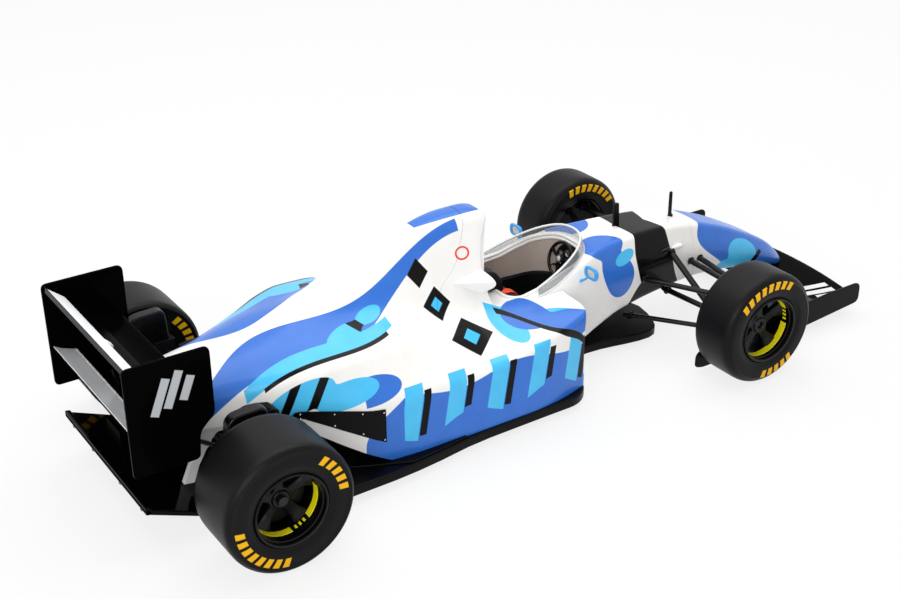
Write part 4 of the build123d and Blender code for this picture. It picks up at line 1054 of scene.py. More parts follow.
def flank(x, side, z, off):
    """A point off the side of the coke bottle."""
    side_y = smooth_rows(BODY_X, [row[1:] for row in BODY], [x])[0][6]
    return at(x, side * (side_y + off), z)


for side, name in SIDES:
    # mirror: a rounded housing with a sunk glass, on a flat stalk
    bm = bmesh.new()
    solid(bm, [mirror_ring(x, side, scale) for x, scale in (
        (0.35, 0.63), (0.0, 0.66), (0.0, 0.96), (0.12, 1.0), (0.6, 1.0), (1.0, 0.9), (1.2, 0.7))])
    stalk = [(MIRROR_X + 0.7, side * 18.4, 33.9), (MIRROR_X + 0.4, side * 17.2, 32.6), (MIRROR_X, side * 15.9, 31.5),
             (MIRROR_X - 0.6, side * 15.0, 31.1)]
    tube(bm, [at(*p) for p in stalk], [0.55, 0.5, 0.55, 0.85], 12, 0.7)
    link(f"mirror_{name}_housing", bm, sky_paint, replaces=[f"mirror_{name}"])
    bm = bmesh.new()
    solid(bm, [mirror_ring(x, side, scale) for x, scale in ((0.4, 0.62), (0.2, 0.62), (0.14, 0.59))])
    link(f"mirror_{name}_glass", bm, mirror_glass)

    # air scoop: a hood that swells out of the flank, with a rolled lip round its mouth
    bm = bmesh.new()
    rings = []
    for t, roll in [(t, 0.0) for t in np.linspace(0.03, 1, 22)] + [(1.0, 0.6), (1.0, 1.0)]:
        top, brow, low = (SCOOP_TIP + (p - SCOOP_TIP) * t**k
                          for p, k in ((SCOOP_TOP, 1.0), (SCOOP_BROW, 0.72), (SCOOP_LOW, 0.9)))
        outer, inner = [], []
        for q in np.linspace(0, 1, 25):
            pull = 2 * BROW_WEIGHT * q * (1 - q)
            place = ((1 - q)**2 * top + pull * brow + q * q * low) / ((1 - q)**2 + pull + q * q)
            swell = math.sin(math.pi * max(0.0, (q - 0.2) / 0.8))
            rolled = place + np.array([0.9, 0.5, -0.7]) * swell * roll
            outer.append(at(rolled[0], side * rolled[1], rolled[2]))
            heart = (top + low) / 2
            sunk = place + (heart - place) * 0.13 * min(1.0, t * 1.5) + np.array([0.45, 0, 0]) * roll * swell
            inner.append(at(sunk[0], side * sunk[1], sunk[2]))
        rings.append(outer + inner[::-1])
    solid(bm, rings)
    link(f"air_scoop_{name}_hood", bm, white, 40, replaces=[f"air_scoop_{name}"])

    # louvre plate on the coke bottle flank
    bm = bmesh.new()
    rings = []
    for x in list(np.linspace(17.4, 20.2, 9)) + list(np.linspace(21.5, 40.4, 22)):
        high = 24.2 - 2.0 * (x - 18.6) / 22.9
        low = 21.9 - 10.0 * max(0.0, x - 20.0) / 20.4
        if x < 20.2:
            bulge = math.sqrt(max(0.0, 1 - ((20.2 - x) / 2.85)**2))
            middle = 22.75
            high, low = middle + (high - middle) * bulge, middle + (low - middle) * bulge
        heights = np.linspace(low, high, 9)
        rings.append([flank(x, side, z, 0.05) for z in heights] + [flank(x, side, z, 0.5) for z in heights[::-1]])
    solid(bm, rings)
    bevelled(link(f"louvre_plate_{name}", bm, satin_black, 30, replaces=[f"louvre_panel_{name}"]),
             0.14, 2, 40)
    bm = bmesh.new()
    for x, z in LOUVRE_SCREWS:
        a, b = flank(x, side, z, 0.45), flank(x, side, z, 0.68)
        tube(bm, [a, a.lerp(b, 0.7), b], [0.26, 0.26, 0.16], 10)
    link(f"louvre_screws_{name}", bm, steel)

    # brake cooling inlet beside the tail
    plate(f"brake_inlet_{name}", FIN, side * 15.0, side * 24.1, gloss_black, 25, (0.3, 3, 30),
          ["deck_fins"])

# antennas: a rod with a collar, and a flat blade
bm = bmesh.new()
foot = hull_top(170.5, 0)
tube(bm, [at(170.5, 0, foot - 0.4), at(170.5, 0, foot + 0.5), at(170.3, 0, foot + 0.55), at(170.3, 0, 43.4),
          at(170.3, 0, 43.7)], [0.95, 0.85, 0.62, 0.56, 0.3], 16)
link("antenna_rod", bm, trim_black, replaces=["antennas"])
foot = hull_top(147.2, 0)
plate("antenna_blade", [(145.9, foot - 0.4), (148.7, foot - 0.4), (148.5, foot + 0.4), (148.1, 45.0), (147.6, 45.3),
                        (146.5, 45.3), (146.1, 45.0), (146.0, foot + 0.4)], -0.4, 0.4, trim_black, 25, (0.18, 3, 30),
      ["antennas"])


def swelling(x, y, z, length, width, height, n=16):
    """A teardrop fairing along the car, pointed at the back."""
    bm = bmesh.new()
    rings = []
    for t in np.linspace(0.02, 0.98, 14):
        r = math.sqrt(max(0.0, 1 - (2 * t**0.75 - 1)**2)) * (0.35 + 0.65 * t)
        rings.append([at(x - length / 2 + length * t, y + width / 2 * r * math.cos(a), z + height / 2 * r * math.sin(a))
                      for a in (2 * math.pi * k / n for k in range(n))])
    solid(bm, rings)
    return bm


for side, name in SIDES:
    link(f"arm_fairing_rear_{name}", swelling(158.8, side * 11.4, 29.9, 4.6, 2.6, 2.6), trim_black, 60)
    link(f"arm_fairing_front_{name}", swelling(164.4, side * 10.9, 29.7, 4.4, 2.4, 2.2), white, 60)


# ---------------------------------------------------------------- wings and floor
REAR = -29.6
WING_TOP, HALF_WING, PLATE = 54.4, 27.5, 1.0


def printed(name, gloss, bars, axis):
    """Black with slanted bars printed on it: bars are (u, v, half length, half width, degrees, colour)."""
    shader = Shader(name, INK, 0.1, specular=0.1)
    shader.bsdf.inputs["IOR"].default_value = 1.12
    shader.fleck(FLECK_SCALE, *gloss)
    x, y, z = shader.place()
    first = shader.math("SUBTRACT", x, REAR_AXLE)
    second = z if axis == "side" else shader.math("ABSOLUTE", y)
    field = Field(shader, first, second)
    colour = INK
    # only the outer faces of upright plates are printed
    off_face = shader.math("SUBTRACT", HALF_WING + 0.9 * PLATE, shader.math("ABSOLUTE", y)) if axis == "side" else -9.0
    for cu, cv, half_length, half_width, degrees, code in bars:
        bar = shader.math("MAXIMUM", field.bar(cu, cv, half_length, half_width, degrees), off_face)
        colour = shader.mix(field.ink(bar), colour, srgb(code))
    shader.wire(colour, shader.bsdf.inputs["Base Color"])
    return shader


def rounded_outline(points, radius, n=5):
    """A closed outline with each corner rounded by an arc."""
    out = []
    count = len(points)
    for k in range(count):
        p, a, b = (np.array(points[j % count], float) for j in (k, k - 1, k + 1))
        r = radius[k] if hasattr(radius, "__len__") else radius
        da, db = a - p, b - p
        ra, rb = min(r, 0.45 * np.linalg.norm(da)), min(r, 0.45 * np.linalg.norm(db))
        s, e = p + da / np.linalg.norm(da) * ra, p + db / np.linalg.norm(db) * rb
        out += [tuple((1 - t)**2 * s + 2 * t * (1 - t) * p + t * t * e) for t in np.linspace(0, 1, n)]
    return out


wing_bars = [(REAR + 9.0, 44.2, 5.2, 1.15, 68, "b9bcc0"), (REAR + 12.6, 45.4, 5.2, 1.15, 68, "b9bcc0"),
             (REAR + 16.2, 44.8, 3.4, 1.15, 68, "b9bcc0")]
plate_finish = printed("rear_plate_gloss", (0.05, 0.1), wing_bars, "side")
PLATE_ROWS = [(0.0, WING_TOP), (23.1, WING_TOP), (23.1, 35.0), (18.6, 31.0), (18.1, 23.3), (0.0, 23.3)]
for side, name in SIDES:
    outline = rounded_outline([(REAR + x, z) for x, z in PLATE_ROWS], [1.7, 1.9, 1.6, 2.0, 1.6, 1.6], 6)
    plate(f"rear_endplate_{name}_gloss", outline, side * HALF_WING, side * (HALF_WING + PLATE), plate_finish, 30,
          (0.26, 3, 30), [f"rear_endplate_{name}"])


SECTION_STEPS = 18


def aerofoil_points(lead, trail, thickness, camber):
    """A closed wing section of (x, z), hollow side up, with a rounded nose and a thin rear edge."""
    lead, trail = np.array(lead, float), np.array(trail, float)
    chord = trail - lead
    length = np.linalg.norm(chord)
    along = chord / length
    normal = np.array([-along[1], along[0]])
    if normal[1] < 0:
        normal = -normal
    upper, lower = [], []
    for k in range(SECTION_STEPS + 1):
        t = (1 - math.cos(math.pi * k / SECTION_STEPS)) / 2
        mean = -camber * 4 * t * (1 - t)
        half = thickness * (1.48 * math.sqrt(t) - 0.63 * t - 1.76 * t * t + 1.42 * t**3 - 0.48 * t**4) + 0.12 * t
        base = lead + along * length * t
        upper.append(tuple(base + normal * (mean + half)))
        lower.append(tuple(base + normal * (mean - half)))
    return upper + lower[:0:-1]


def wing_piece(name, points, y0, y1, look, node, spans=2, sweep=0.0):
    """A wing element between y0 and y1, its front drawn back towards the tips by sweep."""
    bm = bmesh.new()
    rear_x, front_x = min(p[0] for p in points), max(p[0] for p in points)
    solid(bm, [[at(x - sweep * (y / max(abs(y0), abs(y1)))**2 * (x - rear_x) / (front_x - rear_x), y, z)
                   for x, z in points] for y in np.linspace(y0, y1, spans)])
    link(name, bm, look, 40, replaces=[node])


wing_piece("rear_main_plane", aerofoil_points((REAR + 19.8, 41.8), (REAR + 9.0, 45.2), 0.9, 0.9), -HALF_WING, HALF_WING,
           wing_black, "rear_wing_main")
FLAP = aerofoil_points((REAR + 10.2, 46.2), (REAR + 0.9, 52.9), 0.75, 0.5)
BEAM = aerofoil_points((REAR + 10.6, 31.8), (REAR + 0.6, 35.6), 0.8, 0.7)
wing_piece("rear_flap_plane", FLAP, -HALF_WING, HALF_WING, wing_black, "rear_wing_flap")
wing_piece("rear_beam_plane", BEAM, -HALF_WING, HALF_WING, wing_black, "rear_beam_wing")


def pale_strip(name, section, start, reach, look, proud=0.13):
    """A pale strip let into a wing's upper face, from start to reach ahead of its rear edge, whose colour carries
    painted light.
    """
    upper = np.array(section[:SECTION_STEPS + 1])[::-1]
    run = np.concatenate([[0], np.cumsum(np.linalg.norm(np.diff(upper, axis=0), axis=1))])
    bm = bmesh.new()
    rings = []
    for y in (HALF_WING - 0.1, 0.0, -HALF_WING + 0.1):
        ways = np.linspace(start, reach, 9)
        line = np.stack([np.interp(ways, run, upper[:, 0]), np.interp(ways, run, upper[:, 1])], axis=1)
        along = np.gradient(line, axis=0)
        along /= np.linalg.norm(along, axis=1)[:, None]
        rise = np.stack([-along[:, 1], along[:, 0]], axis=1)
        high = line + rise * proud * np.array([[0.4]] + [[1.0]] * 7 + [[0.4]])
        low = line - rise * 0.1
        rings.append([at(x, y, z) for x, z in high] + [at(x, y, z) for x, z in low[::-1]])
    solid(bm, rings)
    link(name, bm, look, 50)


# the beam wing's upper face: a pale trim that is partly a painted reflection of the light, with painted highlights
# along its two edges
pale_strip("rear_beam_trim_and_reflection", BEAM, 0.35, 7.2, pale_trim_and_reflection)
pale_strip("rear_beam_edge_highlight_back", BEAM, 0.3, 0.85, painted_edge_highlight, 0.2)
pale_strip("rear_beam_edge_highlight_front", BEAM, 6.75, 7.25, painted_edge_highlight, 0.2)
# a raised pale strip along the rear of the flap, that widens from a point at the left plate: a painted reflection of
# the light on the flap
bm = bmesh.new()
rings = []
for y in (HALF_WING - 0.1, HALF_WING - 2.5, HALF_WING - 5.0, 0.0, -HALF_WING + 0.1):
    k = min(1.0, 0.06 + (HALF_WING - 0.1 - y) / 5.0)
    rings.append([at(-28.3 + dx * k, y, 53.2 + dz * k) for dx, dz in
                  ((0.0, 0.25), (3.0, -1.15), (3.25, -1.4), (3.5, -2.8), (0.2, -0.75))])
solid(bm, rings)
bevelled(link("rear_flap_painted_reflection", bm, pale_trim_and_reflection, 20), 0.1, 2, 30)
plate("rear_flap_bracket", [(-25.9, 51.0), (-23.9, 49.6), (-23.7, 50.6), (-25.4, 52.3)], -8.2, -6.0, pale_trim_and_reflection, 20,
      (0.15, 2, 30))
plate("rear_flap_lip", [(REAR + 0.5, 52.6), (REAR + 0.95, 52.5), (REAR + 1.05, 54.0), (REAR + 0.75, 54.2)],
      -HALF_WING, HALF_WING, gloss_black, 20, (0.1, 2, 30), ["rear_wing_flap"])
PYLON = rounded_outline([(-10.8, 23.2), (-18.6, 23.2), (-20.0, 33.6), (-17.4, 42.9), (-12.6, 41.3), (-13.4, 33.0)],
                        1.0, 4)
for k, y in enumerate((-2.6, 2.6)):
    plate(f"wing_pylon_{k}", PYLON, y - 0.6, y + 0.6, gloss_black, 25, (0.2, 2, 30), ["wing_pylon"])

# front wing
TIP = 226.9
FW_HALF, FW_PLATE, FW_CHORD = 38.0, 0.8, 73.0
# outline of the front endplates, as shares of their length and heights
FW_PLATE_ROWS = [(0.0, 2.0), (0.0, 6.5), (0.06, 8.4), (0.55, 10.2), (0.8, 11.4), (1.0, 11.4), (1.0, 4.2), (0.5, 1.2),
                 (0.04, 1.2)]
front_bars = [(TIP - 13.5, 24.6, 7.0, 1.25, 14, "e9eaea"), (TIP - 14.2, 28.4, 7.0, 1.25, 14, "e9eaea"),
              (TIP - 12.0, 32.4, 4.6, 1.25, 14, "e9eaea")]
front_finish = printed("front_wing_satin", (0.24, 0.34), front_bars, "top")
wing_piece("front_main_plane", aerofoil_points((TIP - 0.1, 6.6), (TIP - 27.0, 7.3), 1.1, 0.8), -FW_HALF + FW_PLATE,
           FW_HALF - FW_PLATE, front_finish, "front_wing_main", 41, 5.2)
for side, name in SIDES:
    wing_piece(f"front_flap_{name}", aerofoil_points((TIP - 21.0, 7.9), (TIP - 33.4, 11.8), 0.8, 0.9),
               side * 12.0, side * (FW_HALF - FW_PLATE), satin_black, "front_wing_flaps")
    bm = slab([(TIP - 33.2, 11.4), (TIP - 33.5, 11.4), (TIP - 33.7, 12.9), (TIP - 33.4, 12.9)], side * 12.2,
              side * (FW_HALF - FW_PLATE))
    link(f"front_flap_lip_{name}", bm, satin_black, replaces=["front_wing_flaps"])
    x0 = TIP - 3.6 - FW_CHORD
    outline = rounded_outline([(x0 + share * FW_CHORD, z) for share, z in FW_PLATE_ROWS],
                              [1.0, 2.0, 2.5, 4, 3, 2.4, 2.2, 4, 1.0], 6)
    plate(f"front_endplate_{name}_satin", outline, side * (FW_HALF - FW_PLATE), side * FW_HALF, satin_black, 30,
          (0.22, 3, 30), [f"front_endplate_{name}"])

# floor with its splitter: one plate with a round corner below each sidepod
half_floor = [(22.0, 38.4), (40.0, 38.3), (48.0, 37.9), (56.0, 37.1), (66.0, 35.7), (74.0, 35.2), (94.0, 35.0)]
half_floor += [(103.2 + 10.1 * math.sin(a), 24.9 + 10.1 * math.cos(a)) for a in np.linspace(0, math.pi / 2, 12)]
half_floor += [(113.3, 16.5), (114.6, 14.3), (118.0, 12.9), (123.0, 12.1), (128.0, 11.9), (133.0, 12.3), (137.5, 13.1),
               (142.2, 14.1), (147.1, 14.9), (151.2, 15.0), (153.8, 14.2), (155.4, 12.6), (157.2, 9.2), (158.6, 5.0)]
FLOOR_PLAN = half_floor + [(159.6, 0.0)] + [(x, -y) for x, y in reversed(half_floor)]
bm = bmesh.new()
solid(bm, [[at(x, y, z) for x, y in FLOOR_PLAN] for z in (2.0, 5.0)])
floor_skin = link("floor_pan_skin", bm, satin_black, 30, replaces=["floor_pan"])
screws = bmesh.new()
for x in (42.0, 102.0):
    tube(screws, [at(x, 0, 1.0), at(x, 0, 6.0)], 1.3, 32)
cut(floor_skin, spare_object(screws))
bevelled(floor_skin, 0.5, 3, 40)
for side, name in SIDES:
    # a step in the floor that runs out to its edge ahead of the rear wheel
    bm = bmesh.new()
    plan = [(22.2, 17.5), (22.2, 25.6), (34.0, 31.6), (46.5, 37.3), (58.0, 36.2), (66.0, 34.9), (66.0, 17.5)]
    solid(bm, [[at(x, side * y, z) for x, y in plan] for z in (4.9, 5.55)])
    bevelled(link(f"floor_step_{name}", bm, satin_black, 30), 0.3, 3, 30)

# diffuser: an upswept plate with upright strakes below it
DIFFUSER = [(22.0, 5.0), (-7.0, 6.4), (-11.3, 7.0), (-12.4, 7.35), (-27.9, 14.0)]
STRAKE = [(22.0, 3.6), (-7.0, 5.0), (-11.3, 5.6), (-27.5, 12.6), (-27.5, 10.9), (-11.3, 3.4), (22.0, 3.0)]
HALF_DIFFUSER = 28.8
plate("diffuser_skin", DIFFUSER + [(x, z - 1.6) for x, z in reversed(DIFFUSER)], -HALF_DIFFUSER, HALF_DIFFUSER,
      gloss_black, 30, (0.3, 2, 40), ["diffuser"])
for k, y in enumerate((-24.0, -9.6, 9.6, 24.0)):
    plate(f"diffuser_strake_{k}", STRAKE, y - 0.5, y + 0.5, gloss_black, 30, (0.15, 2, 30), ["diffuser"])
bevelled(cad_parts["gearbox"], 0.4, 2, 30)
plate("diffuser_lip", rounded_outline([(-27.9, 12.1), (-27.9, 14.3), (-26.2, 13.9), (-26.2, 11.9)], 0.5, 4),
      -HALF_DIFFUSER, HALF_DIFFUSER, gloss_black, 40, (0.5, 3, 60))


# ---------------------------------------------------------------- wheels
RUBBER_INK = srgb("080809")
MARK_YELLOW = srgb("f2b50c")
# blocks printed on the tyres: the span outside the rim, degrees from block to block, the share of them that is
# printed, degrees of lean for each millimetre outwards, and the softness of their edges in millimetres
MARK_SPAN, MARK_PITCH, MARK_FILL, MARK_LEAN, MARK_EDGE = (3.0, 5.5), 10.5, 0.62, 0.9, 0.12
# arcs of blocks: the count of blocks in the long and the short one, and their middles on each wheel, in degrees
# from straight ahead, up positive
MARK_COUNTS = (8, 5)
MARK_ARCS = {"front_left": (70, 250), "front_right": (100, 285), "rear_left": (200, 20), "rear_right": (222, 28)}


def arc_marks(s, inner, outer, middles):
    """Prints blocks on a shader along arcs round the axle, between two radii."""
    x, _, z = s.place()
    radius = s.math("SQRT", s.math("MULTIPLY_ADD", x, x, s.math("MULTIPLY", z, z)))
    angle = s.math("DEGREES", s.math("ARCTAN2", z, x))
    middle_radius = (inner + outer) / 2
    from_middle = s.math("SUBTRACT", radius, middle_radius)
    band = s.math("SUBTRACT", s.math("ABSOLUTE", from_middle), (outer - inner) / 2)
    marks = None
    for middle, count in zip(middles, MARK_COUNTS):
        # degrees from the arc's middle, folded into -180..180, with each block's lean
        off = s.math("WRAP", s.math("SUBTRACT", angle, middle), 180.0, -180.0)
        off = s.math("MULTIPLY_ADD", from_middle, MARK_LEAN, off)
        span = s.math("SUBTRACT", s.math("ABSOLUTE", off), count * MARK_PITCH / 2)
        cell = s.math("FRACT", s.math("DIVIDE", s.math("ADD", off, count * MARK_PITCH / 2 + 3600.0), MARK_PITCH))
        gap = s.math("SUBTRACT", s.math("ABSOLUTE", s.math("SUBTRACT", cell, 0.5)), MARK_FILL / 2)
        degrees_out = s.math("MAXIMUM", span, s.math("MULTIPLY", gap, MARK_PITCH))
        one = s.math("MAXIMUM", s.math("MULTIPLY", degrees_out, middle_radius * math.pi / 180), band)
        marks = one if marks is None else s.math("MINIMUM", marks, one)
    ink = s.math("MULTIPLY_ADD", marks, -1 / MARK_EDGE, 0.5, clamp=True)
    s.wire(s.mix(ink, RUBBER_INK, MARK_YELLOW), s.bsdf.inputs["Base Color"])


# axle x, tyre radius, tyre width, y of the outer face, rim radius
WHEEL_SIZES = {"front": (WHEELBASE, 17.9, 14.9, 54.1, 10.6), "rear": (0.0, 18.1, 19.6, 55.6, 10.4)}
# side wall from the bead: distance outside the bead and depth behind the outer face
WALL = [(0, 1.1), (0, 0.75), (0.25, 0.5), (0.8, 0.42), (1.15, 0.3), (1.5, 0.12), (2.4, 0.03), (3.6, 0.0), (4.4, 0.02)]
# shoulder: distance inside the tread and depth
SHOULDER = {
    "front": [(2.5, 0.08), (2.35, 0.0), (2.1, 0.02), (1.9, 0.22), (1.35, 0.48), (0.8, 0.92), (0.4, 1.45), (0.16, 2.05),
              (0.05, 2.7)],
    "rear": [(1.75, 0.1), (1.45, 0.0), (1.15, 0.04), (0.9, 0.26), (0.6, 0.5), (0.33, 0.86), (0.14, 1.35), (0.04, 1.95),
             (0.01, 2.7)],
}
BROADER = {"front": 0.7, "rear": 0.0}  # of the tyre, on its inner side
SPOKES_OUT = {"front": 2.0, "rear": 0.0}  # the front wheels' spokes stand further out than the rear ones'
# painted arcs on the rim's barrel in degrees, the middles of the rows of small blocks between them, and their depths
BANDS = {"front": (((-168, -8), (26, 62), (92, 160)), (9, 77), (2.6, 4.8)),
         "rear": (((-165, -80), (-46, 12), (68, 150)), (-63, 40), (4.1, 6.3))}
BLOCK_STARTS, BLOCK_DEGREES = (-10.5, -2.1, 6.3), 4.2
# half width and depth of a spoke along its radius, before its end at the rim
SPOKE = [(1.8, 1.9, 6.7), (3.2, 1.55, 6.9), (5.2, 1.4, 7.1), (7.2, 1.75, 6.9)]
HUB_FACE = [(3.3, 7.2), (3.05, 6.85), (2.6, 6.75), (2.45, 6.4), (2.2, 6.2), (1.6, 6.2), (1.45, 6.4), (1.2, 6.4),
            (1.05, 6.55), (1.0, 7.5), (0.05, 7.5)]
HUB_BACK, HUB_RADIUS, NUT_RADIUS = 8.4, 3.3, 0.75


def build_wheel(end, place, side):
    axle, radius, width, outer_y, rim_radius = WHEEL_SIZES[end]
    centre = at(axle, side * outer_y, radius)

    def add(kind, part, bm, look, angle=35):
        """A piece with its own origin on the axle, at the tyre's outer face."""
        name = f"{kind}_{place}_{part}"
        mesh = to_mesh(bm, name, angle)
        piece = bpy.data.objects.new(name, mesh)
        bpy.context.scene.collection.objects.link(piece)
        mesh.materials.append(look.material)
        piece.location = centre
        bpy.context.view_layer.update()
        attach(piece, f"wheel_{place}")
        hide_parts(f"{kind}_{place}")
        return piece

    def polar(q, a, depth):
        return Vector((q * math.cos(a), -side * depth, q * math.sin(a))) * MM

    def lathe(kind, part, profile, look, steps, angle):
        """A body turned about the axle from (radius, depth behind the outer face) points."""
        bm = bmesh.new()
        rings = [[polar(q, 2 * math.pi * k / steps, depth) for q, depth in profile] for k in range(steps)]
        add_grid(bm, rings + rings[:1], closed=True)
        add(kind, part, bm, look, angle)

    finish = Shader(f"tyre_rubber_{place}", RUBBER_INK, 0.4, specular=0.14)
    finish.fleck(90, 0.36, 0.5)
    finish.grain(1700, 0.02, detail=4.0)
    arc_marks(finish, rim_radius + MARK_SPAN[0], rim_radius + MARK_SPAN[1], MARK_ARCS[place])
    bead = rim_radius + 0.03
    broad = width + BROADER[end]
    wall = [(bead + d, depth) for d, depth in WALL] + [(radius - d, depth) for d, depth in SHOULDER[end]]
    tread = [(radius, depth) for depth in np.linspace(3.6, broad - 3.6, 6)]
    lathe("tyre", "rubber", wall + tread + [(q, broad - depth) for q, depth in reversed(wall)], finish, 144, 25)

    # rim: a barrel with a rolled lip and painted arcs, five spokes, and a hub with a nut in its socket
    inner = rim_radius - 0.85
    barrel = [(rim_radius, 1.0), (rim_radius - 0.02, 0.45), (rim_radius - 0.2, 0.2), (rim_radius - 0.5, 0.12),
              (rim_radius - 0.75, 0.28), (inner, 0.6), (inner - 0.05, 1.45), (inner - 0.35, 1.6),
              (inner - 0.35, width - 2.0), (inner, width - 1.4), (inner, width - 0.5), (rim_radius - 0.3, width - 0.3),
              (rim_radius, width - 0.6)]
    lathe("rim", "barrel", barrel, lip_black, 112, 35)
    band_radius = inner - 0.36
    arcs, blanks, band_depths = BANDS[end]
    blocks = tuple((middle + d, middle + d + BLOCK_DEGREES) for middle in blanks for d in BLOCK_STARTS)
    for k, (start, stop) in enumerate(arcs + blocks):
        low, high = band_depths
        if k >= len(arcs):
            low, high = low + 0.45, high - 0.5
        section = [(band_radius, low), (band_radius - 0.1, low + 0.1), (band_radius - 0.1, high - 0.1),
                   (band_radius, high)]
        bm = bmesh.new()
        solid(bm, [[polar(q, math.radians(d), depth) for q, depth in section]
                   for d in np.linspace(start, stop, max(6, int((stop - start) / 4)))])
        add("rim", f"band_{k}", bm, yellow)
    out = SPOKES_OUT[end]
    bm = bmesh.new()
    for k in range(5):
        a = math.radians(90 + 72 * k)
        d, n = (math.cos(a), math.sin(a)), (-math.sin(a), math.cos(a))
        rings = []
        for q, half, face in SPOKE + [(inner - 0.2, 2.6, 6.2)]:
            section = [(-half, 1.9), (-half, 0.45), (-half * 0.62, 0.0), (half * 0.62, 0.0), (half, 0.45), (half, 1.9)]
            rings.append([Vector((d[0] * q + n[0] * t, -side * (face - out + w), d[1] * q + n[1] * t)) * MM
                          for t, w in section])
        solid(bm, rings)
    bevelled(add("rim", "spokes", bm, rim_black, 30), 0.14, 2, 35)
    hub = [(0.05, HUB_BACK), (HUB_RADIUS, HUB_BACK)] + [(q, depth - out) for q, depth in HUB_FACE]
    lathe("rim", "hub", hub, rim_black, 48, 30)
    lathe("rim", "neck", [(1.35, 8.7), (2.4, 8.7), (2.4, 8.0), (1.35, 8.0)], rim_black, 40, 30)
    bm = bmesh.new()
    solid(bm, [[polar(NUT_RADIUS, math.radians(60 * k), depth) for k in range(6)] for depth in (6.9 - out, 7.6 - out)])
    bevelled(add("rim", "nut", bm, lip_black, 20), 0.12, 2, 30)


WHEELS = [(end, f"{end}_{name}", side) for end in WHEEL_SIZES for side, name in SIDES]
for wheel in WHEELS:
    build_wheel(*wheel)


# ---------------------------------------------------------------- suspension
# inner end (axle forward, y, height over the axle), outer end (axle forward, height), width, squash
ARMS = {
    "front": [
        (-15.5, 10.0, 4.6, -3.0, 6.7, 1.25, 0.6),
        (6.6, 8.5, 4.8, 2.0, 6.9, 1.25, 0.6),
        (10.9, 8.0, 4.8, 5.0, 5.4, 1.25, 0.6),
        (-2.6, 9.0, 11.6, -4.0, -6.4, 1.2, 0.6),
        (-20.5, 10.0, -7.2, -3.0, -4.4, 1.15, 0.6),
        (-2.5, 8.0, -3.6, 2.0, -4.4, 1.25, 0.6),
    ],
    "rear": [
        (12.0, 8.0, 0.4, 3.0, 5.9, 0.9, 0.6),
        (-9.0, 8.0, 0.4, -2.0, 5.9, 0.9, 0.6),
        (12.0, 8.0, -9.4, 2.0, -6.0, 0.9, 0.6),
        (-3.0, 8.0, -9.1, -2.0, -6.0, 0.9, 0.6),
        (0.0, 8.0, 0.0, 0.0, 0.0, 1.0, 1.0),  # the drive shaft
    ],
}
# the solids' steps from a tyre's outer face to the upright and, at the rear, to the inner face of the brake duct
RIM_RECESS, SPOKE_DEPTH, AXLE_REACH = 3.4, 2.2, 3.2
UPRIGHT_GAP, UPRIGHT_THICK = 0.6, 3.0
DUCT_GAP, DUCT_THICK = 0.8, 2.0
# outline and corner radii of the rear brake ducts, flat boxes beside the tyres
DUCT, DUCT_CORNERS = [(-5.9, 35.6), (5.4, 35.9), (6.4, 22.0), (-6.3, 22.6)], [3.8, 2.6, 1.6, 1.6]


def flat_arm(bm, start, end, half, squash, sides=14):
    """A streamlined arm, wide along the car, that narrows to its ends."""
    start, end = Vector(start), Vector(end)
    d = (end - start).normalized()
    ahead_of = (Vector((1, 0, 0)) - d * d.x).normalized()
    up = d.cross(ahead_of)
    rings = []
    for t, k in ((0.0, 0.75), (0.02, 0.95), (0.08, 1.0), (0.5, 0.98), (0.92, 1.0), (0.97, 0.85), (1.0, 0.7)):
        p = start.lerp(end, t)
        rings.append([p + (ahead_of * math.cos(a) + up * math.sin(a) * squash) * half * k * MM
                      for a in (2 * math.pi * j / sides for j in range(sides))])
    solid(bm, rings)


def bolt_head(bm, place, direction, size):
    d = Vector(direction).normalized()
    tube(bm, [place - d * size * 0.5 * MM, place + d * size * 0.45 * MM, place + d * size * 0.6 * MM],
         [size * 0.5, size * 0.5, size * 0.35], 6)


def drive_shaft(bm, a, b, n=40):
    """A shaft with two rubber boots."""
    radii = []
    for k in range(n + 1):
        t = k / n
        boot = t > 0.8 or 0.22 < t < 0.42
        radii.append((1.7 + 0.25 * math.cos(k * math.pi)) if boot else 0.95)
    tube(bm, [a.lerp(b, k / n) for k in range(n + 1)], radii, 18)


def turned(axle, side, height, profile, steps=64):
    """A ring round an axle, from (radius, y) points."""
    bm = bmesh.new()
    rings = [[at(axle + q * math.cos(a), side * y, height + q * math.sin(a)) for q, y in profile]
             for a in (2 * math.pi * k / steps for k in range(steps))]
    add_grid(bm, rings + rings[:1], closed=True)
    return bm


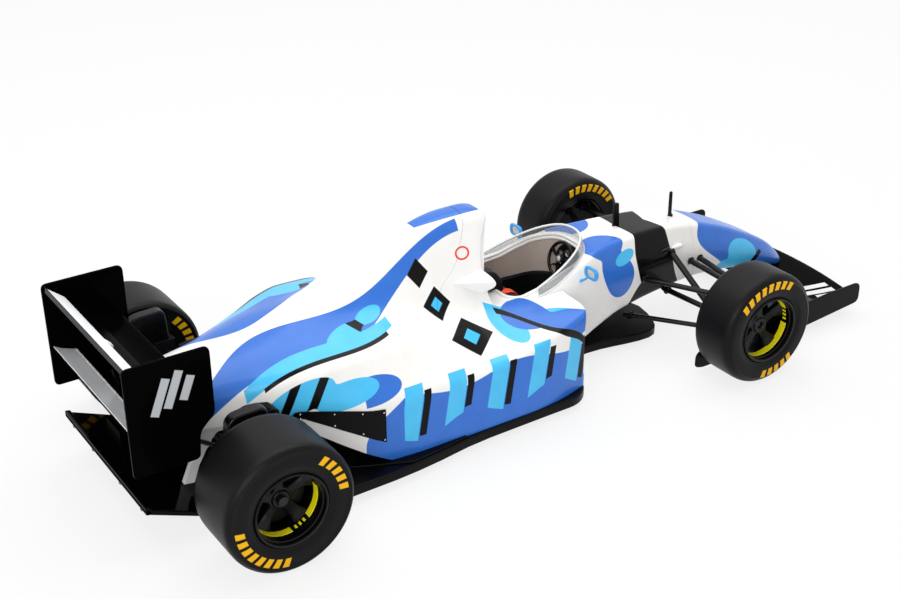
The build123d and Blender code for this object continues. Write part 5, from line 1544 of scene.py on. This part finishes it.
def build_suspension(end, place, side):
    axle, radius, width, outer_y, _ = WHEEL_SIZES[end]
    hub_inner = outer_y - RIM_RECESS - SPOKE_DEPTH - AXLE_REACH
    arm_end = hub_inner - UPRIGHT_GAP - UPRIGHT_THICK if end == "front" else outer_y - width - DUCT_GAP - DUCT_THICK
    bm = bmesh.new()
    ends = bmesh.new()
    for reach, inner_y, rise, out_reach, out_rise, half, squash in ARMS[end]:
        a = at(axle + reach, side * inner_y, radius + rise)
        b = at(axle + out_reach, side * (arm_end + 0.4), radius + out_rise)
        if end == "rear" and reach == 0.0:
            drive_shaft(bm, a, b)
            continue
        flat_arm(bm, a, b, half, squash)
        near = b.lerp(a, 0.05)
        tube(ends, [near + Vector((0, 0, -0.9 * MM)), near + Vector((0, 0, 0.9 * MM))], half * 1.05, 14)
        bolt_head(ends, near + Vector((0, 0, 0.95 * MM)), (0, 0, 1), 0.8)
        root = a.lerp(b, 0.06 if end == "front" else 0.03)
        tube(ends, [root + Vector((-0.9 * MM, 0, 0)), root + Vector((0.9 * MM, 0, 0))], half * 0.95, 12)
    nodes = [f"suspension_{place}"]
    link(f"arms_{place}", bm, arm_black, 40, 1e-9, replaces=nodes)
    link(f"arm_joints_{place}", ends, trim_black, 30, 1e-9, replaces=nodes)
    bevelled(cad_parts[f"upright_{place}"], 0.35 if end == "front" else 0.9, 3, 30)
    if end == "rear":
        plate(f"brake_duct_{place}", rounded_outline(DUCT, DUCT_CORNERS, 6), side * 30.4, side * 34.0, trim_black, 30,
              (0.8, 3, 30))
    # brake disc behind the spokes, and a dished shield that closes the wheel's inner side, in black that paints the
    # shade inside the wheel
    disc_out = hub_inner - 0.7
    disc = turned(axle, side, radius, ((3.6, disc_out), (8.3, disc_out), (8.3, disc_out - 0.7), (3.6, disc_out - 0.7)))
    shield = turned(axle, side, radius, (
        (3.6, disc_out - 1.0), (8.2, disc_out - 1.0), (8.7, disc_out - 0.6), (8.9, disc_out - 0.7),
        (8.8, disc_out - 1.2), (8.3, disc_out - 1.5), (3.6, disc_out - 1.5)))
    link(f"brake_shield_{place}", shield, painted_shade, 30)
    link(f"brake_disc_{place}", disc, duct_black, 30)


for wheel in WHEELS:
    build_suspension(*wheel)


# ---------------------------------------------------------------- carried-over solids
LOOKS = {
    "gearbox": wing_black,
    "upright_front_left": satin_black, "upright_front_right": satin_black,
    "upright_rear_left": duct_black, "upright_rear_right": duct_black,
}
for name, look in LOOKS.items():
    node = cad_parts[name]
    node.data.materials.clear()
    node.data.materials.append(look.material)

# ---------------------------------------------------------------- stage, lights and camera
FLOOR_HALF, FLOOR_GLOW, WORLD_LIGHT = 4, 0.8, 0.53
floor_mesh = bpy.data.meshes.new("stage_floor")
floor_mesh.from_pydata([(sx * FLOOR_HALF, sy * FLOOR_HALF, 0) for sx, sy in ((-1, -1), (1, -1), (1, 1), (-1, 1))],
                       [], [(0, 1, 2, 3)])
floor = bpy.data.objects.new("stage_floor", floor_mesh)
bpy.context.scene.collection.objects.link(floor)
ground = Shader("stage_white", (0.82, 0.82, 0.82), 0.9, specular=0.0)
floor_mesh.materials.append(ground.material)


def seen_white(tree, plain_output, share):
    """Mixes white light into a background, as only the camera, mirrors and glass see it."""
    path = tree.nodes.new("ShaderNodeLightPath")
    seen = path.outputs["Is Camera Ray"]
    for kind in ("Is Glossy Ray", "Is Transmission Ray"):
        either = tree.nodes.new("ShaderNodeMath")
        either.operation = "MAXIMUM"
        tree.links.new(seen, either.inputs[0])
        tree.links.new(path.outputs[kind], either.inputs[1])
        seen = either.outputs[0]
    part = tree.nodes.new("ShaderNodeMath")
    part.operation = "MULTIPLY"
    part.inputs[1].default_value = share
    tree.links.new(seen, part.inputs[0])
    glow = tree.nodes.new("ShaderNodeEmission")
    glow.inputs["Color"].default_value = (1, 1, 1, 1)
    glow.inputs["Strength"].default_value = 1.0
    mix = tree.nodes.new("ShaderNodeMixShader")
    tree.links.new(part.outputs[0], mix.inputs[0])
    tree.links.new(plain_output, mix.inputs[1])
    tree.links.new(glow.outputs[0], mix.inputs[2])
    return mix.outputs[0]


out = ground.tree.nodes["Material Output"]
ground.tree.links.new(seen_white(ground.tree, ground.bsdf.outputs[0], FLOOR_GLOW), out.inputs["Surface"])

world = bpy.data.worlds.new("studio")
bpy.context.scene.world = world
world.use_nodes = True
sky_tree = world.node_tree
background = sky_tree.nodes["Background"]
background.inputs["Color"].default_value = (1, 1, 1, 1)
background.inputs["Strength"].default_value = WORLD_LIGHT
sky_tree.links.new(seen_white(sky_tree, background.outputs[0], 1.0), sky_tree.nodes["World Output"].inputs["Surface"])


def lamp(name, location, target, size, size_y, power):
    data = bpy.data.lights.new(name, "AREA")
    data.shape, data.size, data.size_y, data.energy = "RECTANGLE", size, size_y, power
    obj = bpy.data.objects.new(name, data)
    bpy.context.scene.collection.objects.link(obj)
    obj.location = location
    obj.rotation_euler = (Vector(target) - Vector(location)).to_track_quat("-Z", "Y").to_euler()


lamp("top_box", (0.05, 0.15, 0.7), (0, 0, 0), 0.9, 0.6, 4.15)
lamp("side_box", (-0.55, -0.5, 0.4), (0, 0, 0.03), 0.5, 0.35, 2.6)

# the photo's camera, fitted to the wheels: its place in metres, its turn in radians and its lens in millimetres
EYE = (-0.22506, -0.31732, 0.22331)
AZIMUTH, ELEVATION, ROLL = -0.58515, 0.46815, -0.00755
LENS, SENSOR, SHIFT = 56.857, 36.0, (-0.00087, -0.00558)
back = Vector((math.sin(AZIMUTH) * math.cos(ELEVATION), -math.cos(AZIMUTH) * math.cos(ELEVATION), math.sin(ELEVATION)))
right = Vector((math.cos(AZIMUTH), math.sin(AZIMUTH), 0))
up = back.cross(right)
right, up = right * math.cos(ROLL) + up * math.sin(ROLL), up * math.cos(ROLL) - right * math.sin(ROLL)
camera_data = bpy.data.cameras.new("camera")
camera_data.sensor_fit, camera_data.sensor_width = "HORIZONTAL", SENSOR
camera_data.lens = LENS
camera_data.shift_x, camera_data.shift_y = SHIFT
camera_data.clip_start, camera_data.clip_end = 0.01, 20.0
camera = bpy.data.objects.new("camera", camera_data)
bpy.context.scene.collection.objects.link(camera)
camera.matrix_world = Matrix.Translation(EYE) @ Matrix((right, up, back)).transposed().to_4x4()
bpy.context.scene.camera = camera
bpy.context.scene.view_settings.view_transform = "Standard"
